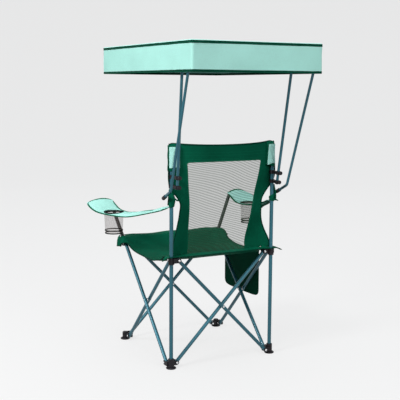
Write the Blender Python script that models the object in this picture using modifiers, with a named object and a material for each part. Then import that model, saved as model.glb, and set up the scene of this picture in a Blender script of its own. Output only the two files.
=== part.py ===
"""A folding camping chair with a tilting canopy, cup-holder armrests and a side pouch.

Metres, +Z up.  The sitter faces -Y and the sitter's left hand is at +X.  All sizes below are
measured from the point on the ground midway between the four corners of the frame.  At the end
the whole chair moves forward, so that the origin is on the ground under the canopy's middle.

The frame is four crossed pairs of tubes, one pair on each side of a square.  Each corner holds a
foot below and a slider or a hub above, and every corner is the first one turned by a quarter.
"""

import math

import bmesh
import bpy
from mathutils import Matrix, Vector

# Clearances and counts shared by all pieces.
GAP = 0.0003
RUNNING_GAP = 0.0005
OVERRUN = 0.004
MERGE = 0.00001
UNIT = 1
TUBE_SIDES = 12
PIN_SIDES = 8
KNOB_STEPS = 12

# Square frame.
CORNER_SPACING = 0.475
X_TUBE_LENGTH = 0.600
PIVOT_INSET = 0.028
OUTBOARD_OFFSET = 0.0075
INBOARD_OFFSET = 0.0105
X_TUBE_RADIUS = 0.0075
X_TUBE_END = 0.009
TUBE_WALL = 0.0012
PIN_RADIUS = 0.0025
PIN_HEAD_RADIUS = 0.0046
PIN_HEAD_HEIGHT = 0.0016

# Plastic feet, sliders and hubs.
FOOT_PAD_RADIUS = 0.021
FOOT_PAD_HEIGHT = 0.006
FOOT_PIVOT_HEIGHT = 0.020
FOOT_BOSS_HEIGHT = 0.042
FRONT_BOSS_HEIGHT = 0.034
BOSS_RADIUS = 0.0125
FORK_ROOT = 0.002
FORK_WEB = 0.0155
FORK_TIP_RADIUS = 0.0095
FORK_WALL = 0.003
FORK_TIP_STEPS = 4
SLIDER_SKIRT = 0.016
SOCKET_FLOOR = 0.008

# Where the frame's tubes end.
HALF = CORNER_SPACING / 2
SPREAD = math.acos((CORNER_SPACING - 2 * PIVOT_INSET) / X_TUBE_LENGTH)
TOP_PIVOT_HEIGHT = FOOT_PIVOT_HEIGHT + X_TUBE_LENGTH * math.sin(SPREAD)
CENTRE_HEIGHT = (FOOT_PIVOT_HEIGHT + TOP_PIVOT_HEIGHT) / 2
FORK_REACH = X_TUBE_RADIUS + RUNNING_GAP + FORK_WALL / 2
HUB_TOP = TOP_PIVOT_HEIGHT + FORK_TIP_RADIUS

# Corner posts and arm posts.
POST_RADIUS = 0.008
POST_RISE = 0.4555
POST_TOP = TOP_PIVOT_HEIGHT + POST_RISE
ARM_POST_LEAN = math.radians(19.6)
ARM_SOCKET_LENGTH = 0.026
ARM_SOCKET_RADIUS = 0.0118
ARM_POST_SEAT = 0.006

# Canopy arms, rails and their clamps.
CANOPY_TUBE_RADIUS = 0.006
UPPER_CLAMP_DROP = 0.1150
CLAMP_SPACING = 0.0387
CLAMP_HEIGHTS = {
    "lower": POST_TOP - UPPER_CLAMP_DROP - CLAMP_SPACING,
    "upper": POST_TOP - UPPER_CLAMP_DROP,
}
STRAIGHT_ARM_INSET = 0.0038
STRAIGHT_ARM_SETBACK = 0.0439
STRAIGHT_ARM_TAIL = 0.0093
STRAIGHT_ARM_LOW = Vector((
    HALF - STRAIGHT_ARM_INSET,
    HALF + STRAIGHT_ARM_SETBACK,
    CLAMP_HEIGHTS["lower"] - STRAIGHT_ARM_TAIL,
))
TILT_PIVOT_RISE = 0.404
TILT_PIVOT_HEIGHT = POST_TOP + TILT_PIVOT_RISE
STRAIGHT_ARM_LEAN_BACK = math.radians(8.5)
STRAIGHT_ARM_LEAN_OUT = math.radians(1.9)
STRAIGHT_ARM_END = 0.0035
CLAMP_LENGTH = 0.015
CLAMP_POST_RADIUS = 0.0110
CLAMP_ARM_RADIUS = 0.0090
CLAMP_WEB = 0.008
KNOB_BOSS_RADIUS = 0.0052
KNOB_BOSS_LENGTH = 0.0125
KNOB_RADIUS = 0.0082
KNOB_LENGTH = 0.009
KNOB_SHANK_RADIUS = 0.0025
RAIL_OUTSET = 0.0435
RAIL_X = HALF + RAIL_OUTSET
RAIL_FRONT = -0.335
RAIL_REAR = 0.450
SPIGOT_LENGTH = 0.020
BOLT_HEAD_RADIUS = 0.0042
BOLT_HEAD_LENGTH = 0.0020
BOLT_COLLAR_RADIUS = 0.0055
ELBOW_TOP_REACH = 0.0475
ELBOW_TOP_Y = RAIL_REAR + ELBOW_TOP_REACH
ELBOW_TOP_BEND = 0.030
ELBOW_INSET = 0.0095
ELBOW_SETBACK = 0.0191
ELBOW_DROP = 0.0030
ELBOW = STRAIGHT_ARM_LOW + Vector((0, ELBOW_SETBACK, -ELBOW_DROP))
ELBOW.x = RAIL_X - ELBOW_INSET
ELBOW_BEND = 0.022
GRIP_INSET = 0.0030
GRIP_REACH = 0.0705
GRIP_DROP = 0.0350
ELBOW_END = ELBOW - Vector((GRIP_INSET, GRIP_REACH, GRIP_DROP))
BEND_STEPS = 5
CAP_LENGTH = 0.024
CAP_WALL = 0.0018

# Seat.
CLOTH = 0.0020
SEAT_FRONT_LIP = 0.0125
SEAT_REAR_LIP = 0.0140
SEAT_SIDE_LIP = 0.0148
SEAT_FRONT = -HALF - SEAT_FRONT_LIP
SEAT_REAR = HALF + SEAT_REAR_LIP
SEAT_HALF_WIDTH = HALF + SEAT_SIDE_LIP
SEAT_EAR = 0.040
SEAT_EAR_POWER = 10
SEAT_FRONT_RISE = 0.0210
SEAT_REAR_RISE = 0.0050
SEAT_FRONT_HEIGHT = HUB_TOP + SEAT_FRONT_RISE
SEAT_REAR_HEIGHT = HUB_TOP + SEAT_REAR_RISE
SEAT_SAG = 0.046
SEAT_END_FLAT = 0.0315
SEAT_FLAT_FROM = HALF - SEAT_END_FLAT
SEAT_ROWS = 14
SEAT_COLUMNS = 12
SEAT_HOLE_GAP = 0.0012

# Back panel, its mesh window and the sleeves over the post tops.
PANEL_OVER_POST = 0.0190
PANEL_TOP = POST_TOP + PANEL_OVER_POST
PANEL_TOP_DIP = 0.010
PANEL_OVER_SEAT = 0.0060
PANEL_BOTTOM = SEAT_REAR_HEIGHT + PANEL_OVER_SEAT
TOP_BAND = 0.080
WINDOW_TOP = PANEL_TOP - TOP_BAND
PANEL_FRONT_GAP = 0.0016
PANEL_CURL = 0.0080
PANEL_SIDE_LIP = 0.0225
PANEL_HALF_WIDTH = HALF + PANEL_SIDE_LIP
WINDOW_HALF_WIDTH = 0.180
PANEL_LOW_Y = 0.176
PANEL_BOW = 0.088
SLEEVE_HALF_WIDTH = 0.029
SLEEVE_INSET = 0.011
SLEEVE_CENTRE = HALF - SLEEVE_INSET
SLEEVE_OVER_POST = 0.0060
SLEEVE_HEIGHT = 0.096
SLEEVE_HIGH = POST_TOP + SLEEVE_OVER_POST
SLEEVE_LOW = SLEEVE_HIGH - SLEEVE_HEIGHT
SLEEVE_BULGE = 0.0032
SLEEVE_SETBACK = 0.0065
SLEEVE_EDGE_Y = HALF + SLEEVE_SETBACK
WINDOW_COLUMNS = 8
STRIP_COLUMNS = 4
PANEL_ROWS = 13
# Shares of the panel's height, of its half width, of its window's half width and of its bow.
PANEL_SHARES = (
    (0.0000, 0.9423, 0.7556, 0.0000),
    (0.0661, 0.8962, 0.7639, 0.0455),
    (0.1542, 0.8327, 0.7833, 0.1761),
    (0.2423, 0.7808, 0.8000, 0.3068),
    (0.3744, 0.7500, 0.8278, 0.4773),
    (0.5066, 0.7635, 0.8639, 0.6420),
    (0.6388, 0.8154, 0.9056, 0.7841),
    (0.7269, 0.8462, 0.9333, 0.8864),
    (0.7599, 0.9231, 0.9444, 0.9205),
    (0.8238, 0.9885, 0.9639, 0.9773),
    (1.0000, 1.0000, 1.0000, 1.0000),
)

# Armrests and cup holders.
PAD = 0.003
ARMREST_ROWS = 16
ARMREST_COLUMNS = 4
ARMREST_FRONT_LIP = 0.0075
ARMREST_REAR_GAP = 0.0029
ARMREST_FRONT = -HALF - ARMREST_FRONT_LIP
ARMREST_LENGTH = HALF - POST_RADIUS - ARMREST_REAR_GAP - ARMREST_FRONT
ARMREST_REACH = 0.1825
ARMREST_RISE = 0.1535
ARMREST_LIFT = 0.0660
ARMREST_LOW = TOP_PIVOT_HEIGHT + ARMREST_RISE
# Shares of the length, then of the reach to the inner and the outer edge, and of the lift there.
ARMREST_SHARES = (
    (0.0000, 0.3233, 0.9178, 0.6364, 0.5758),
    (0.0212, 0.3205, 0.9836, 0.6136, 0.5227),
    (0.0997, 0.3068, 1.0000, 0.3485, 0.3485),
    (0.1824, 0.2904, 0.9671, 0.1364, 0.1667),
    (0.2651, 0.2740, 0.8959, 0.0833, 0.0530),
    (0.3478, 0.2575, 0.8082, 0.0909, 0.0076),
    (0.4305, 0.2384, 0.6932, 0.1742, 0.0000),
    (0.5195, 0.2055, 0.5562, 0.2576, 0.0152),
    (0.6764, 0.1123, 0.3370, 0.4652, 0.2303),
    (0.8418, 0.0247, 0.1726, 0.7455, 0.5682),
    (1.0000, -0.0466, 0.0477, 1.0000, 0.9545),
)
CUP_OUTSET = 0.1035
CUP_X = HALF + CUP_OUTSET
CUP_SETBACK = 0.1326
CUP_Y = ARMREST_FRONT + CUP_SETBACK
CUP_OVER_PAD = 0.0080
CUP_HEIGHT = 0.0960
CUP_TOP = ARMREST_LOW + CUP_OVER_PAD
CUP_BOTTOM = CUP_TOP - CUP_HEIGHT
CUP_RIM_RADIUS = 0.0430
CUP_BASE_RADIUS = 0.0370
CUP_WALL = 0.0012
RING_HEIGHT = 0.0080
RING_WALL = 0.0030
CUP_STEPS = 18
STRAP_BELOW = 0.0130
STRAP_ABOVE = 0.0310
STRAP_LOW = ARMREST_LOW + ARMREST_LIFT - STRAP_BELOW
STRAP_HIGH = ARMREST_LOW + ARMREST_LIFT + STRAP_ABOVE
STRAP_WALL = 0.0016

# Side pouch.
POUCH_OUTSET = 0.0057
POUCH_INNER_X = SEAT_HALF_WIDTH + POUCH_OUTSET
POUCH_DEPTH = 0.0140
POUCH_FRONT = -0.200
POUCH_REAR = 0.115
POUCH_OVER_SEAT = 0.0040
POUCH_HEIGHT = 0.217
POUCH_HIGH = (SEAT_FRONT_HEIGHT + SEAT_REAR_HEIGHT) / 2 - SEAT_SAG + POUCH_OVER_SEAT
POUCH_LOW = POUCH_HIGH - POUCH_HEIGHT
POUCH_CORNER = 0.028
POUCH_CORNER_STEPS = 4
POUCH_WALL = 0.0015
POUCH_HEM_GAP = 0.0004
POUCH_HEM_INNER_X = SEAT_HALF_WIDTH + POUCH_HEM_GAP
POUCH_HEM_HEIGHT = 0.005
POUCH_HEM_FRONT = 0.000
POUCH_HEM_REAR = 0.090

# Canopy.
CANOPY_CLOTH = 0.0015
CANOPY_SIDE_EASE = 0.0044
CANOPY_FRONT_EASE = 0.0118
CANOPY_REAR_EASE = 0.0102
CANOPY_HALF_WIDTH = RAIL_X + CANOPY_TUBE_RADIUS + CANOPY_SIDE_EASE
CANOPY_FRONT = RAIL_FRONT - CANOPY_FRONT_EASE
CANOPY_REAR = ELBOW_TOP_Y + CANOPY_REAR_EASE
CANOPY_OVER_RAIL = 0.0020
CANOPY_DROP = 0.1180
CANOPY_TOP = TILT_PIVOT_HEIGHT + CANOPY_TUBE_RADIUS + CANOPY_OVER_RAIL
CANOPY_LOW = CANOPY_TOP - CANOPY_DROP
CANOPY_SAG = 0.004
CANOPY_EDGE_ROUND = 0.0035
CANOPY_BILLOW = 0.0025
CANOPY_DRAWN_SHARE = 0.4
CANOPY_COLUMNS = 8
CANOPY_LINES = 12
VALANCE_ROWS = 3

SIDE_NAMES = ("back", "right", "front", "left")
CORNER_NAMES = ("rear_left", "rear_right", "front_right", "front_left")
UP = Vector((0, 0, 1))


def quarter(k):
    """The turn that takes the rear left corner to corner k."""
    return Matrix.Rotation(math.radians(90) * k, 4, "Z")


def corner_point(k, along=0.0, outward=0.0, height=0.0):
    """A point by corner k: along its own side towards the next corner, and out of that side."""
    return quarter(k) @ Vector((HALF - along, HALF + outward, height))


def side_point(k, along, outward, height):
    """A point by corner k on the side before it, measured towards the corner before."""
    return quarter(k) @ Vector((HALF + outward, HALF - along, height))


def mix(a, b, share):
    """The value this share of the way from a to b."""
    return a + (b - a) * share


def lookup(rows, key, column):
    """The value in a column of a table of sections, read between its rows."""
    if key <= rows[0][0]:
        return rows[0][column]
    for low, high in zip(rows, rows[1:]):
        if key <= high[0]:
            return mix(low[column], high[column], (key - low[0]) / (high[0] - low[0]))
    return rows[-1][column]


# Scene, collections and materials.
for old in list(bpy.data.objects):
    bpy.data.objects.remove(old, do_unlink=True)
PARTS = bpy.data.collections.new("canopy_camping_chair")
bpy.context.scene.collection.children.link(PARTS)


def material(name, colour, roughness, metallic=0.0):
    """A plain material of the part's own colour."""
    made = bpy.data.materials.new(name)
    made.use_nodes = True
    shader = made.node_tree.nodes["Principled BSDF"]
    shader.inputs["Base Color"].default_value = (*colour, 1.0)
    shader.inputs["Roughness"].default_value = roughness
    shader.inputs["Metallic"].default_value = metallic
    return made


MATERIALS = {
    "tube": material("teal_steel_tube", (0.060, 0.190, 0.240), 0.35, 0.55),
    "black_tube": material("black_steel_tube", (0.020, 0.022, 0.024), 0.40, 0.40),
    "plastic": material("black_plastic", (0.025, 0.025, 0.028), 0.50),
    "metal": material("zinc_rivet", (0.62, 0.62, 0.62), 0.30, 1.0),
    "green": material("dark_green_fabric", (0.010, 0.130, 0.065), 0.85),
    "mint": material("mint_fabric", (0.500, 0.890, 0.760), 0.80),
    "mesh": material("beige_mesh", (0.520, 0.490, 0.440), 0.85),
}


def finish(obj, name, look):
    """Name a piece, give it its material and shade it smooth between sharp edges."""
    obj.name = name
    obj.data.name = name
    obj.data.materials.clear()
    obj.data.materials.append(MATERIALS[look])
    obj.data.shade_smooth()
    obj.data.set_sharp_from_angle(angle=math.radians(35))
    return obj


def body(name, pivot):
    """An empty on a joint's axis, which carries the pieces of one moving body."""
    empty = bpy.data.objects.new(name + "_body", None)
    empty.location = pivot
    PARTS.objects.link(empty)
    return empty


def carry(empty, *pieces):
    """Parent pieces to a body's empty without moving them."""
    bpy.context.view_layer.update()
    for piece in pieces:
        piece.parent = empty
        piece.matrix_parent_inverse = empty.matrix_world.inverted()


# Basic solids.
def add_mesh(name, bm, place=None):
    """An object from a finished bmesh."""
    mesh = bpy.data.meshes.new(name)
    bm.to_mesh(mesh)
    bm.free()
    obj = bpy.data.objects.new(name, mesh)
    if place is not None:
        obj.matrix_world = place
    PARTS.objects.link(obj)
    return obj


def rod(start, end, radius, sides=TUBE_SIDES, end_radius=None):
    """A closed round bar, or a cone, between two points."""
    start, end = Vector(start), Vector(end)
    bm = bmesh.new()
    bmesh.ops.create_cone(
        bm,
        cap_ends=True,
        segments=sides,
        radius1=radius,
        radius2=radius if end_radius is None else end_radius,
        depth=(end - start).length,
    )
    turn = (end - start).to_track_quat("Z", "Y").to_matrix().to_4x4()
    return add_mesh("rod", bm, Matrix.Translation((start + end) / 2) @ turn)


def block(low, high):
    """A closed box between two corners."""
    low, high = Vector(low), Vector(high)
    bm = bmesh.new()
    bmesh.ops.create_cube(bm, size=1)
    size = [max(a, b) - min(a, b) for a, b in zip(low, high)]
    bmesh.ops.scale(bm, vec=size, verts=bm.verts)
    return add_mesh("block", bm, Matrix.Translation((low + high) / 2))


def combine(target, tool, operation):
    """Join or cut a solid with another, which is used up."""
    boolean = target.modifiers.new(operation.lower(), "BOOLEAN")
    boolean.operation = operation
    boolean.solver = "EXACT"
    boolean.object = tool
    bpy.context.view_layer.update()
    evaluated = target.evaluated_get(bpy.context.evaluated_depsgraph_get())
    mesh = bpy.data.meshes.new_from_object(evaluated)
    target.modifiers.clear()
    target.data = mesh
    bpy.data.objects.remove(tool, do_unlink=True)
    return target


def join(target, *tools):
    """One solid from several that overlap."""
    for tool in tools:
        combine(target, tool, "UNION")
    return target


def cut(target, *tools):
    """A solid with others taken out of it."""
    for tool in tools:
        combine(target, tool, "DIFFERENCE")
    return target


def solid_from_curve(curve_object):
    """A closed mesh object in place of a curve with caps."""
    bpy.context.view_layer.update()
    evaluated = curve_object.evaluated_get(bpy.context.evaluated_depsgraph_get())
    mesh = bpy.data.meshes.new_from_object(evaluated)
    bm = bmesh.new()
    bm.from_mesh(mesh)
    bmesh.ops.remove_doubles(bm, verts=bm.verts, dist=MERGE)
    bmesh.ops.recalc_face_normals(bm, faces=bm.faces)
    obj = add_mesh(curve_object.name, bm, curve_object.matrix_world.copy())
    bpy.data.objects.remove(curve_object, do_unlink=True)
    bpy.data.meshes.remove(mesh)
    return obj


def plate(outline, thickness, place):
    """A flat plate from an outline in its own plane."""
    curve = bpy.data.curves.new("plate", "CURVE")
    curve.dimensions = "2D"
    curve.fill_mode = "BOTH"
    curve.extrude = thickness / 2
    spline = curve.splines.new("POLY")
    spline.points.add(len(outline) - 1)
    for point, (x, y) in zip(spline.points, outline):
        point.co = (x, y, 0, UNIT)
    spline.use_cyclic_u = True
    obj = bpy.data.objects.new("plate", curve)
    obj.matrix_world = place
    PARTS.objects.link(obj)
    return solid_from_curve(obj)


def sweep(points, radius, resolution=1):
    """A round bar along points."""
    curve = bpy.data.curves.new("sweep", "CURVE")
    curve.dimensions = "3D"
    curve.bevel_depth = radius
    curve.bevel_resolution = resolution
    curve.use_fill_caps = True
    spline = curve.splines.new("POLY")
    spline.points.add(len(points) - 1)
    for i, point in enumerate(points):
        spline.points[i].co = (*point, UNIT)
    obj = bpy.data.objects.new("sweep", curve)
    PARTS.objects.link(obj)
    return solid_from_curve(obj)


def turned(profile, base, direction, steps=TUBE_SIDES):
    """A turned solid: radius and height pairs, from the top of the axis down to its foot."""
    mesh = bpy.data.meshes.new("turned")
    edges = [(i, i + 1) for i in range(len(profile) - 1)]
    mesh.from_pydata([(radius, 0, height) for radius, height in profile], edges, [])
    obj = bpy.data.objects.new("turned", mesh)
    turn = Vector(direction).to_track_quat("Z", "Y").to_matrix().to_4x4()
    obj.matrix_world = Matrix.Translation(Vector(base)) @ turn
    PARTS.objects.link(obj)
    screw = obj.modifiers.new("screw", "SCREW")
    screw.axis = "Z"
    screw.angle = math.radians(360)
    screw.steps = steps
    screw.render_steps = steps
    screw.use_merge_vertices = True
    screw.merge_threshold = MERGE
    bpy.context.view_layer.update()
    evaluated = obj.evaluated_get(bpy.context.evaluated_depsgraph_get())
    obj.data = bpy.data.meshes.new_from_object(evaluated)
    obj.modifiers.clear()
    return obj


def hollow_tube(start, end, radius):
    """An open steel tube between two points."""
    start, end = Vector(start), Vector(end)
    reach = (end - start).normalized() * OVERRUN
    return cut(rod(start, end, radius), rod(start - reach, end + reach, radius - TUBE_WALL))


def drill(target, point, direction, radius, length):
    """A cross hole through a tube."""
    half = Vector(direction) * length
    return cut(target, rod(Vector(point) - half, Vector(point) + half, radius, PIN_SIDES))


def thicken(obj, thickness, offset=0.0):
    """A sheet given its thickness."""
    solidify = obj.modifiers.new("solidify", "SOLIDIFY")
    solidify.thickness = thickness
    solidify.offset = offset
    bpy.context.view_layer.update()
    evaluated = obj.evaluated_get(bpy.context.evaluated_depsgraph_get())
    obj.data = bpy.data.meshes.new_from_object(evaluated)
    obj.modifiers.clear()
    return obj


def sheet(columns, rows, place, thickness, keep=None):
    """A grid whose points are placed by a function of two shares, thickened into cloth."""
    bm = bmesh.new()
    bmesh.ops.create_grid(bm, x_segments=columns, y_segments=rows, size=1)
    if keep is not None:
        dropped = []
        for face in bm.faces:
            middle = face.calc_center_median()
            if not keep((middle.x + 1) / 2, (middle.y + 1) / 2):
                dropped.append(face)
        bmesh.ops.delete(bm, geom=dropped, context="FACES")
    for vertex in bm.verts:
        vertex.co = place((vertex.co.x + 1) / 2, (vertex.co.y + 1) / 2)
    bmesh.ops.triangulate(bm, faces=bm.faces, quad_method="SHORT_EDGE")
    bmesh.ops.recalc_face_normals(bm, faces=bm.faces)
    return thicken(add_mesh("sheet", bm), thickness)


# Feet, sliders and hubs.
def fork(k, own_side, height):
    """The two cheeks, web and riveted pin that hold one tube end at corner k."""
    place = corner_point if own_side else side_point
    upper = height > CENTRE_HEIGHT
    offset = OUTBOARD_OFFSET if own_side == upper else -INBOARD_OFFSET
    origin = place(k, 0.0, 0.0, height)
    along = (place(k, 1.0, 0.0, height) - origin).normalized()
    outward = (place(k, 0.0, 1.0, height) - origin).normalized()
    outline = [(FORK_ROOT, -FORK_TIP_RADIUS)]
    for i in range(FORK_TIP_STEPS + 1):
        angle = math.radians(180) * i / FORK_TIP_STEPS - math.radians(90)
        outline.append((
            PIVOT_INSET + FORK_TIP_RADIUS * math.cos(angle),
            FORK_TIP_RADIUS * math.sin(angle),
        ))
    outline.append((FORK_ROOT, FORK_TIP_RADIUS))
    pieces = []
    for side in (-1, 1):
        middle = origin + outward * (offset + side * FORK_REACH)
        frame = Matrix((along, UP, along.cross(UP))).transposed().to_4x4()
        pieces.append(plate(outline, FORK_WALL, Matrix.Translation(middle) @ frame))
    drop = FORK_TIP_RADIUS - FORK_WALL / 4
    low = origin + along * (FORK_ROOT + FORK_WALL / 4) + outward * (offset - FORK_REACH) - UP * drop
    high = origin + along * FORK_WEB + outward * (offset + FORK_REACH) + UP * drop
    pieces.append(block(low, high))
    axis = origin + along * PIVOT_INSET + outward * offset
    face = FORK_REACH + FORK_WALL / 2
    head = face + PIN_HEAD_HEIGHT
    profile = (
        (0.0, head),
        (PIN_HEAD_RADIUS * 0.7, head),
        (PIN_HEAD_RADIUS, face + PIN_HEAD_HEIGHT / 3),
        (PIN_HEAD_RADIUS, face - FORK_WALL / 2),
        (PIN_RADIUS, face - FORK_WALL / 2),
        (PIN_RADIUS, FORK_WALL / 2 - face),
        (PIN_HEAD_RADIUS, FORK_WALL / 2 - face),
        (PIN_HEAD_RADIUS, -face - PIN_HEAD_HEIGHT / 3),
        (PIN_HEAD_RADIUS * 0.7, -head),
        (0.0, -head),
    )
    pieces.append(turned(profile, axis, outward, PIN_SIDES))
    return pieces


def foot(k):
    """A moulded foot, with a socket for a corner post at the back."""
    rear = k < 2
    height = FOOT_BOSS_HEIGHT if rear else FRONT_BOSS_HEIGHT
    base = corner_point(k)
    edge = FOOT_PAD_HEIGHT / 3
    profile = (
        (0.0, height),
        (BOSS_RADIUS - edge, height),
        (BOSS_RADIUS, height - edge),
        (BOSS_RADIUS, FOOT_PAD_HEIGHT),
        (FOOT_PAD_RADIUS - edge, FOOT_PAD_HEIGHT),
        (FOOT_PAD_RADIUS, FOOT_PAD_HEIGHT - edge),
        (FOOT_PAD_RADIUS, edge / 2),
        (FOOT_PAD_RADIUS - edge / 2, 0.0),
        (0.0, 0.0),
    )
    made = turned(profile, base, UP)
    join(made, *fork(k, True, FOOT_PIVOT_HEIGHT), *fork(k, False, FOOT_PIVOT_HEIGHT))
    if rear:
        socket = rod(base + UP * SOCKET_FLOOR, base + UP * (height + OVERRUN), POST_RADIUS + GAP)
        cut(made, socket)
    return finish(made, CORNER_NAMES[k] + "_foot", "plastic")


def slider(k):
    """A slider that runs on a rear post."""
    low = corner_point(k, height=TOP_PIVOT_HEIGHT - SLIDER_SKIRT)
    high = corner_point(k, height=TOP_PIVOT_HEIGHT + FORK_TIP_RADIUS)
    made = rod(low, high, BOSS_RADIUS)
    join(made, *fork(k, True, TOP_PIVOT_HEIGHT), *fork(k, False, TOP_PIVOT_HEIGHT))
    cut(made, rod(low - UP * OVERRUN, high + UP * OVERRUN, POST_RADIUS + RUNNING_GAP))
    return finish(made, CORNER_NAMES[k] + "_slider", "plastic")


def arm_direction(side):
    """The way an arm post leans, side 1 at the sitter's left and -1 at the right."""
    return Vector((side * math.sin(ARM_POST_LEAN), 0, math.cos(ARM_POST_LEAN)))


def hub(k, side):
    """A front hub with a leaning socket for the arm post."""
    low = corner_point(k, height=TOP_PIVOT_HEIGHT - SLIDER_SKIRT)
    high = corner_point(k, height=TOP_PIVOT_HEIGHT + FORK_TIP_RADIUS)
    base = corner_point(k, height=TOP_PIVOT_HEIGHT)
    lean = arm_direction(side)
    made = rod(low, high, BOSS_RADIUS)
    join(made, *fork(k, True, TOP_PIVOT_HEIGHT), *fork(k, False, TOP_PIVOT_HEIGHT))
    join(made, rod(base, base + lean * ARM_SOCKET_LENGTH, ARM_SOCKET_RADIUS))
    bore_end = base + lean * (ARM_SOCKET_LENGTH + OVERRUN)
    cut(made, rod(base + lean * ARM_POST_SEAT, bore_end, POST_RADIUS + GAP))
    return finish(made, CORNER_NAMES[k] + "_hub", "plastic")


# Crossed tubes.
def x_tube(k, outboard):
    """A tube of side k: from corner k's top down if outboard, or up to the next corner's top."""
    offset = OUTBOARD_OFFSET if outboard else -INBOARD_OFFSET
    heights = (TOP_PIVOT_HEIGHT, FOOT_PIVOT_HEIGHT)
    if not outboard:
        heights = heights[::-1]
    start = corner_point(k, PIVOT_INSET, offset, heights[0])
    end = corner_point(k, CORNER_SPACING - PIVOT_INSET, offset, heights[1])
    along = (end - start).normalized()
    reach = along * X_TUBE_END
    made = hollow_tube(start - reach, end + reach, X_TUBE_RADIUS)
    outward = quarter(k) @ Vector((0, 1, 0))
    for point in (start, (start + end) / 2, end):
        drill(made, point, outward, PIN_RADIUS + RUNNING_GAP, X_TUBE_RADIUS + OVERRUN)
    kind = "outer" if outboard else "inner"
    return finish(made, SIDE_NAMES[k] + "_tube_" + kind, "tube")


def centre_rivet(k):
    """The rivet and washer where the two tubes of a side cross."""
    outer = OUTBOARD_OFFSET + X_TUBE_RADIUS + GAP
    inner = -INBOARD_OFFSET - X_TUBE_RADIUS - GAP
    washer_out = OUTBOARD_OFFSET - X_TUBE_RADIUS - GAP
    washer_in = -INBOARD_OFFSET + X_TUBE_RADIUS + GAP
    profile = (
        (0.0, outer + PIN_HEAD_HEIGHT),
        (PIN_HEAD_RADIUS * 0.7, outer + PIN_HEAD_HEIGHT),
        (PIN_HEAD_RADIUS, outer + PIN_HEAD_HEIGHT / 3),
        (PIN_HEAD_RADIUS, outer),
        (PIN_RADIUS, outer),
        (PIN_RADIUS, washer_out),
        (X_TUBE_RADIUS, washer_out),
        (X_TUBE_RADIUS, washer_in),
        (PIN_RADIUS, washer_in),
        (PIN_RADIUS, inner),
        (PIN_HEAD_RADIUS, inner),
        (PIN_HEAD_RADIUS, inner - PIN_HEAD_HEIGHT / 3),
        (PIN_HEAD_RADIUS * 0.7, inner - PIN_HEAD_HEIGHT),
        (0.0, inner - PIN_HEAD_HEIGHT),
    )
    centre = corner_point(k, HALF, 0.0, CENTRE_HEIGHT)
    outward = quarter(k) @ Vector((0, 1, 0))
    made = turned(profile, centre, outward, PIN_SIDES)
    return finish(made, SIDE_NAMES[k] + "_centre_rivet", "metal")


# Posts and canopy arms.
def corner_post(k, name):
    """A rear post, from its foot's socket up into the back panel's sleeve."""
    low = corner_point(k, height=SOCKET_FLOOR + GAP)
    high = corner_point(k, height=POST_TOP)
    return finish(hollow_tube(low, high, POST_RADIUS), name, "tube")


def armrest_x(y, share):
    """The place across an armrest, from its inner edge to its outer edge."""
    along = (y - ARMREST_FRONT) / ARMREST_LENGTH
    reach = mix(lookup(ARMREST_SHARES, along, 1), lookup(ARMREST_SHARES, along, 2), share)
    return HALF + ARMREST_REACH * reach


def armrest_height(y, share):
    """The height of an armrest's middle surface across its width."""
    along = (y - ARMREST_FRONT) / ARMREST_LENGTH
    rise = mix(lookup(ARMREST_SHARES, along, 3), lookup(ARMREST_SHARES, along, 4), share)
    return ARMREST_LOW + ARMREST_LIFT * rise


def arm_post(k, side, name):
    """A leaning post from a front hub up to the armrest."""
    base = corner_point(k, height=TOP_PIVOT_HEIGHT)
    lean = arm_direction(side)
    under = armrest_height(base.y + POST_RADIUS, 0.0) - PAD - GAP
    under -= POST_RADIUS * math.sin(ARM_POST_LEAN)
    length = (under - base.z) / lean.z
    start = base + lean * (ARM_POST_SEAT + GAP)
    return finish(hollow_tube(start, base + lean * length, POST_RADIUS), name, "black_tube")


def arm_axis():
    """The way the left straight arm runs, upwards."""
    back = math.tan(STRAIGHT_ARM_LEAN_BACK)
    out = math.tan(STRAIGHT_ARM_LEAN_OUT)
    return Vector((out, back, 1)).normalized()


def arm_point(height):
    """The point of the left straight arm's axis at a height."""
    along = arm_axis()
    return STRAIGHT_ARM_LOW + along * ((height - STRAIGHT_ARM_LOW.z) / along.z)


def flip(point, side):
    """A point of the left half, or its mirror image on the right."""
    return Vector((point.x * side, point.y, point.z))


def straight_arm(side, name):
    """The arm held by the two clamps, with the tilt bolt's hole at its top."""
    pivot = flip(arm_point(TILT_PIVOT_HEIGHT), side)
    low = flip(STRAIGHT_ARM_LOW, side)
    end = pivot + (pivot - low).normalized() * STRAIGHT_ARM_END
    made = hollow_tube(low, end, CANOPY_TUBE_RADIUS)
    across = Vector((1, 0, 0))
    drill(made, pivot, across, PIN_RADIUS + GAP, CANOPY_TUBE_RADIUS + OVERRUN)
    return finish(made, name, "tube")


def side_rail(side, name):
    """The straight rail along one side of the canopy's roof."""
    rear = Vector((side * RAIL_X, RAIL_REAR - GAP, TILT_PIVOT_HEIGHT))
    front = Vector((side * RAIL_X, RAIL_FRONT, TILT_PIVOT_HEIGHT))
    made = hollow_tube(front, rear, CANOPY_TUBE_RADIUS)
    pivot = Vector((side * RAIL_X, arm_point(TILT_PIVOT_HEIGHT).y, TILT_PIVOT_HEIGHT))
    across = Vector((1, 0, 0))
    drill(made, pivot, across, PIN_RADIUS + RUNNING_GAP, CANOPY_TUBE_RADIUS + OVERRUN)
    return finish(made, name, "tube")


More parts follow.
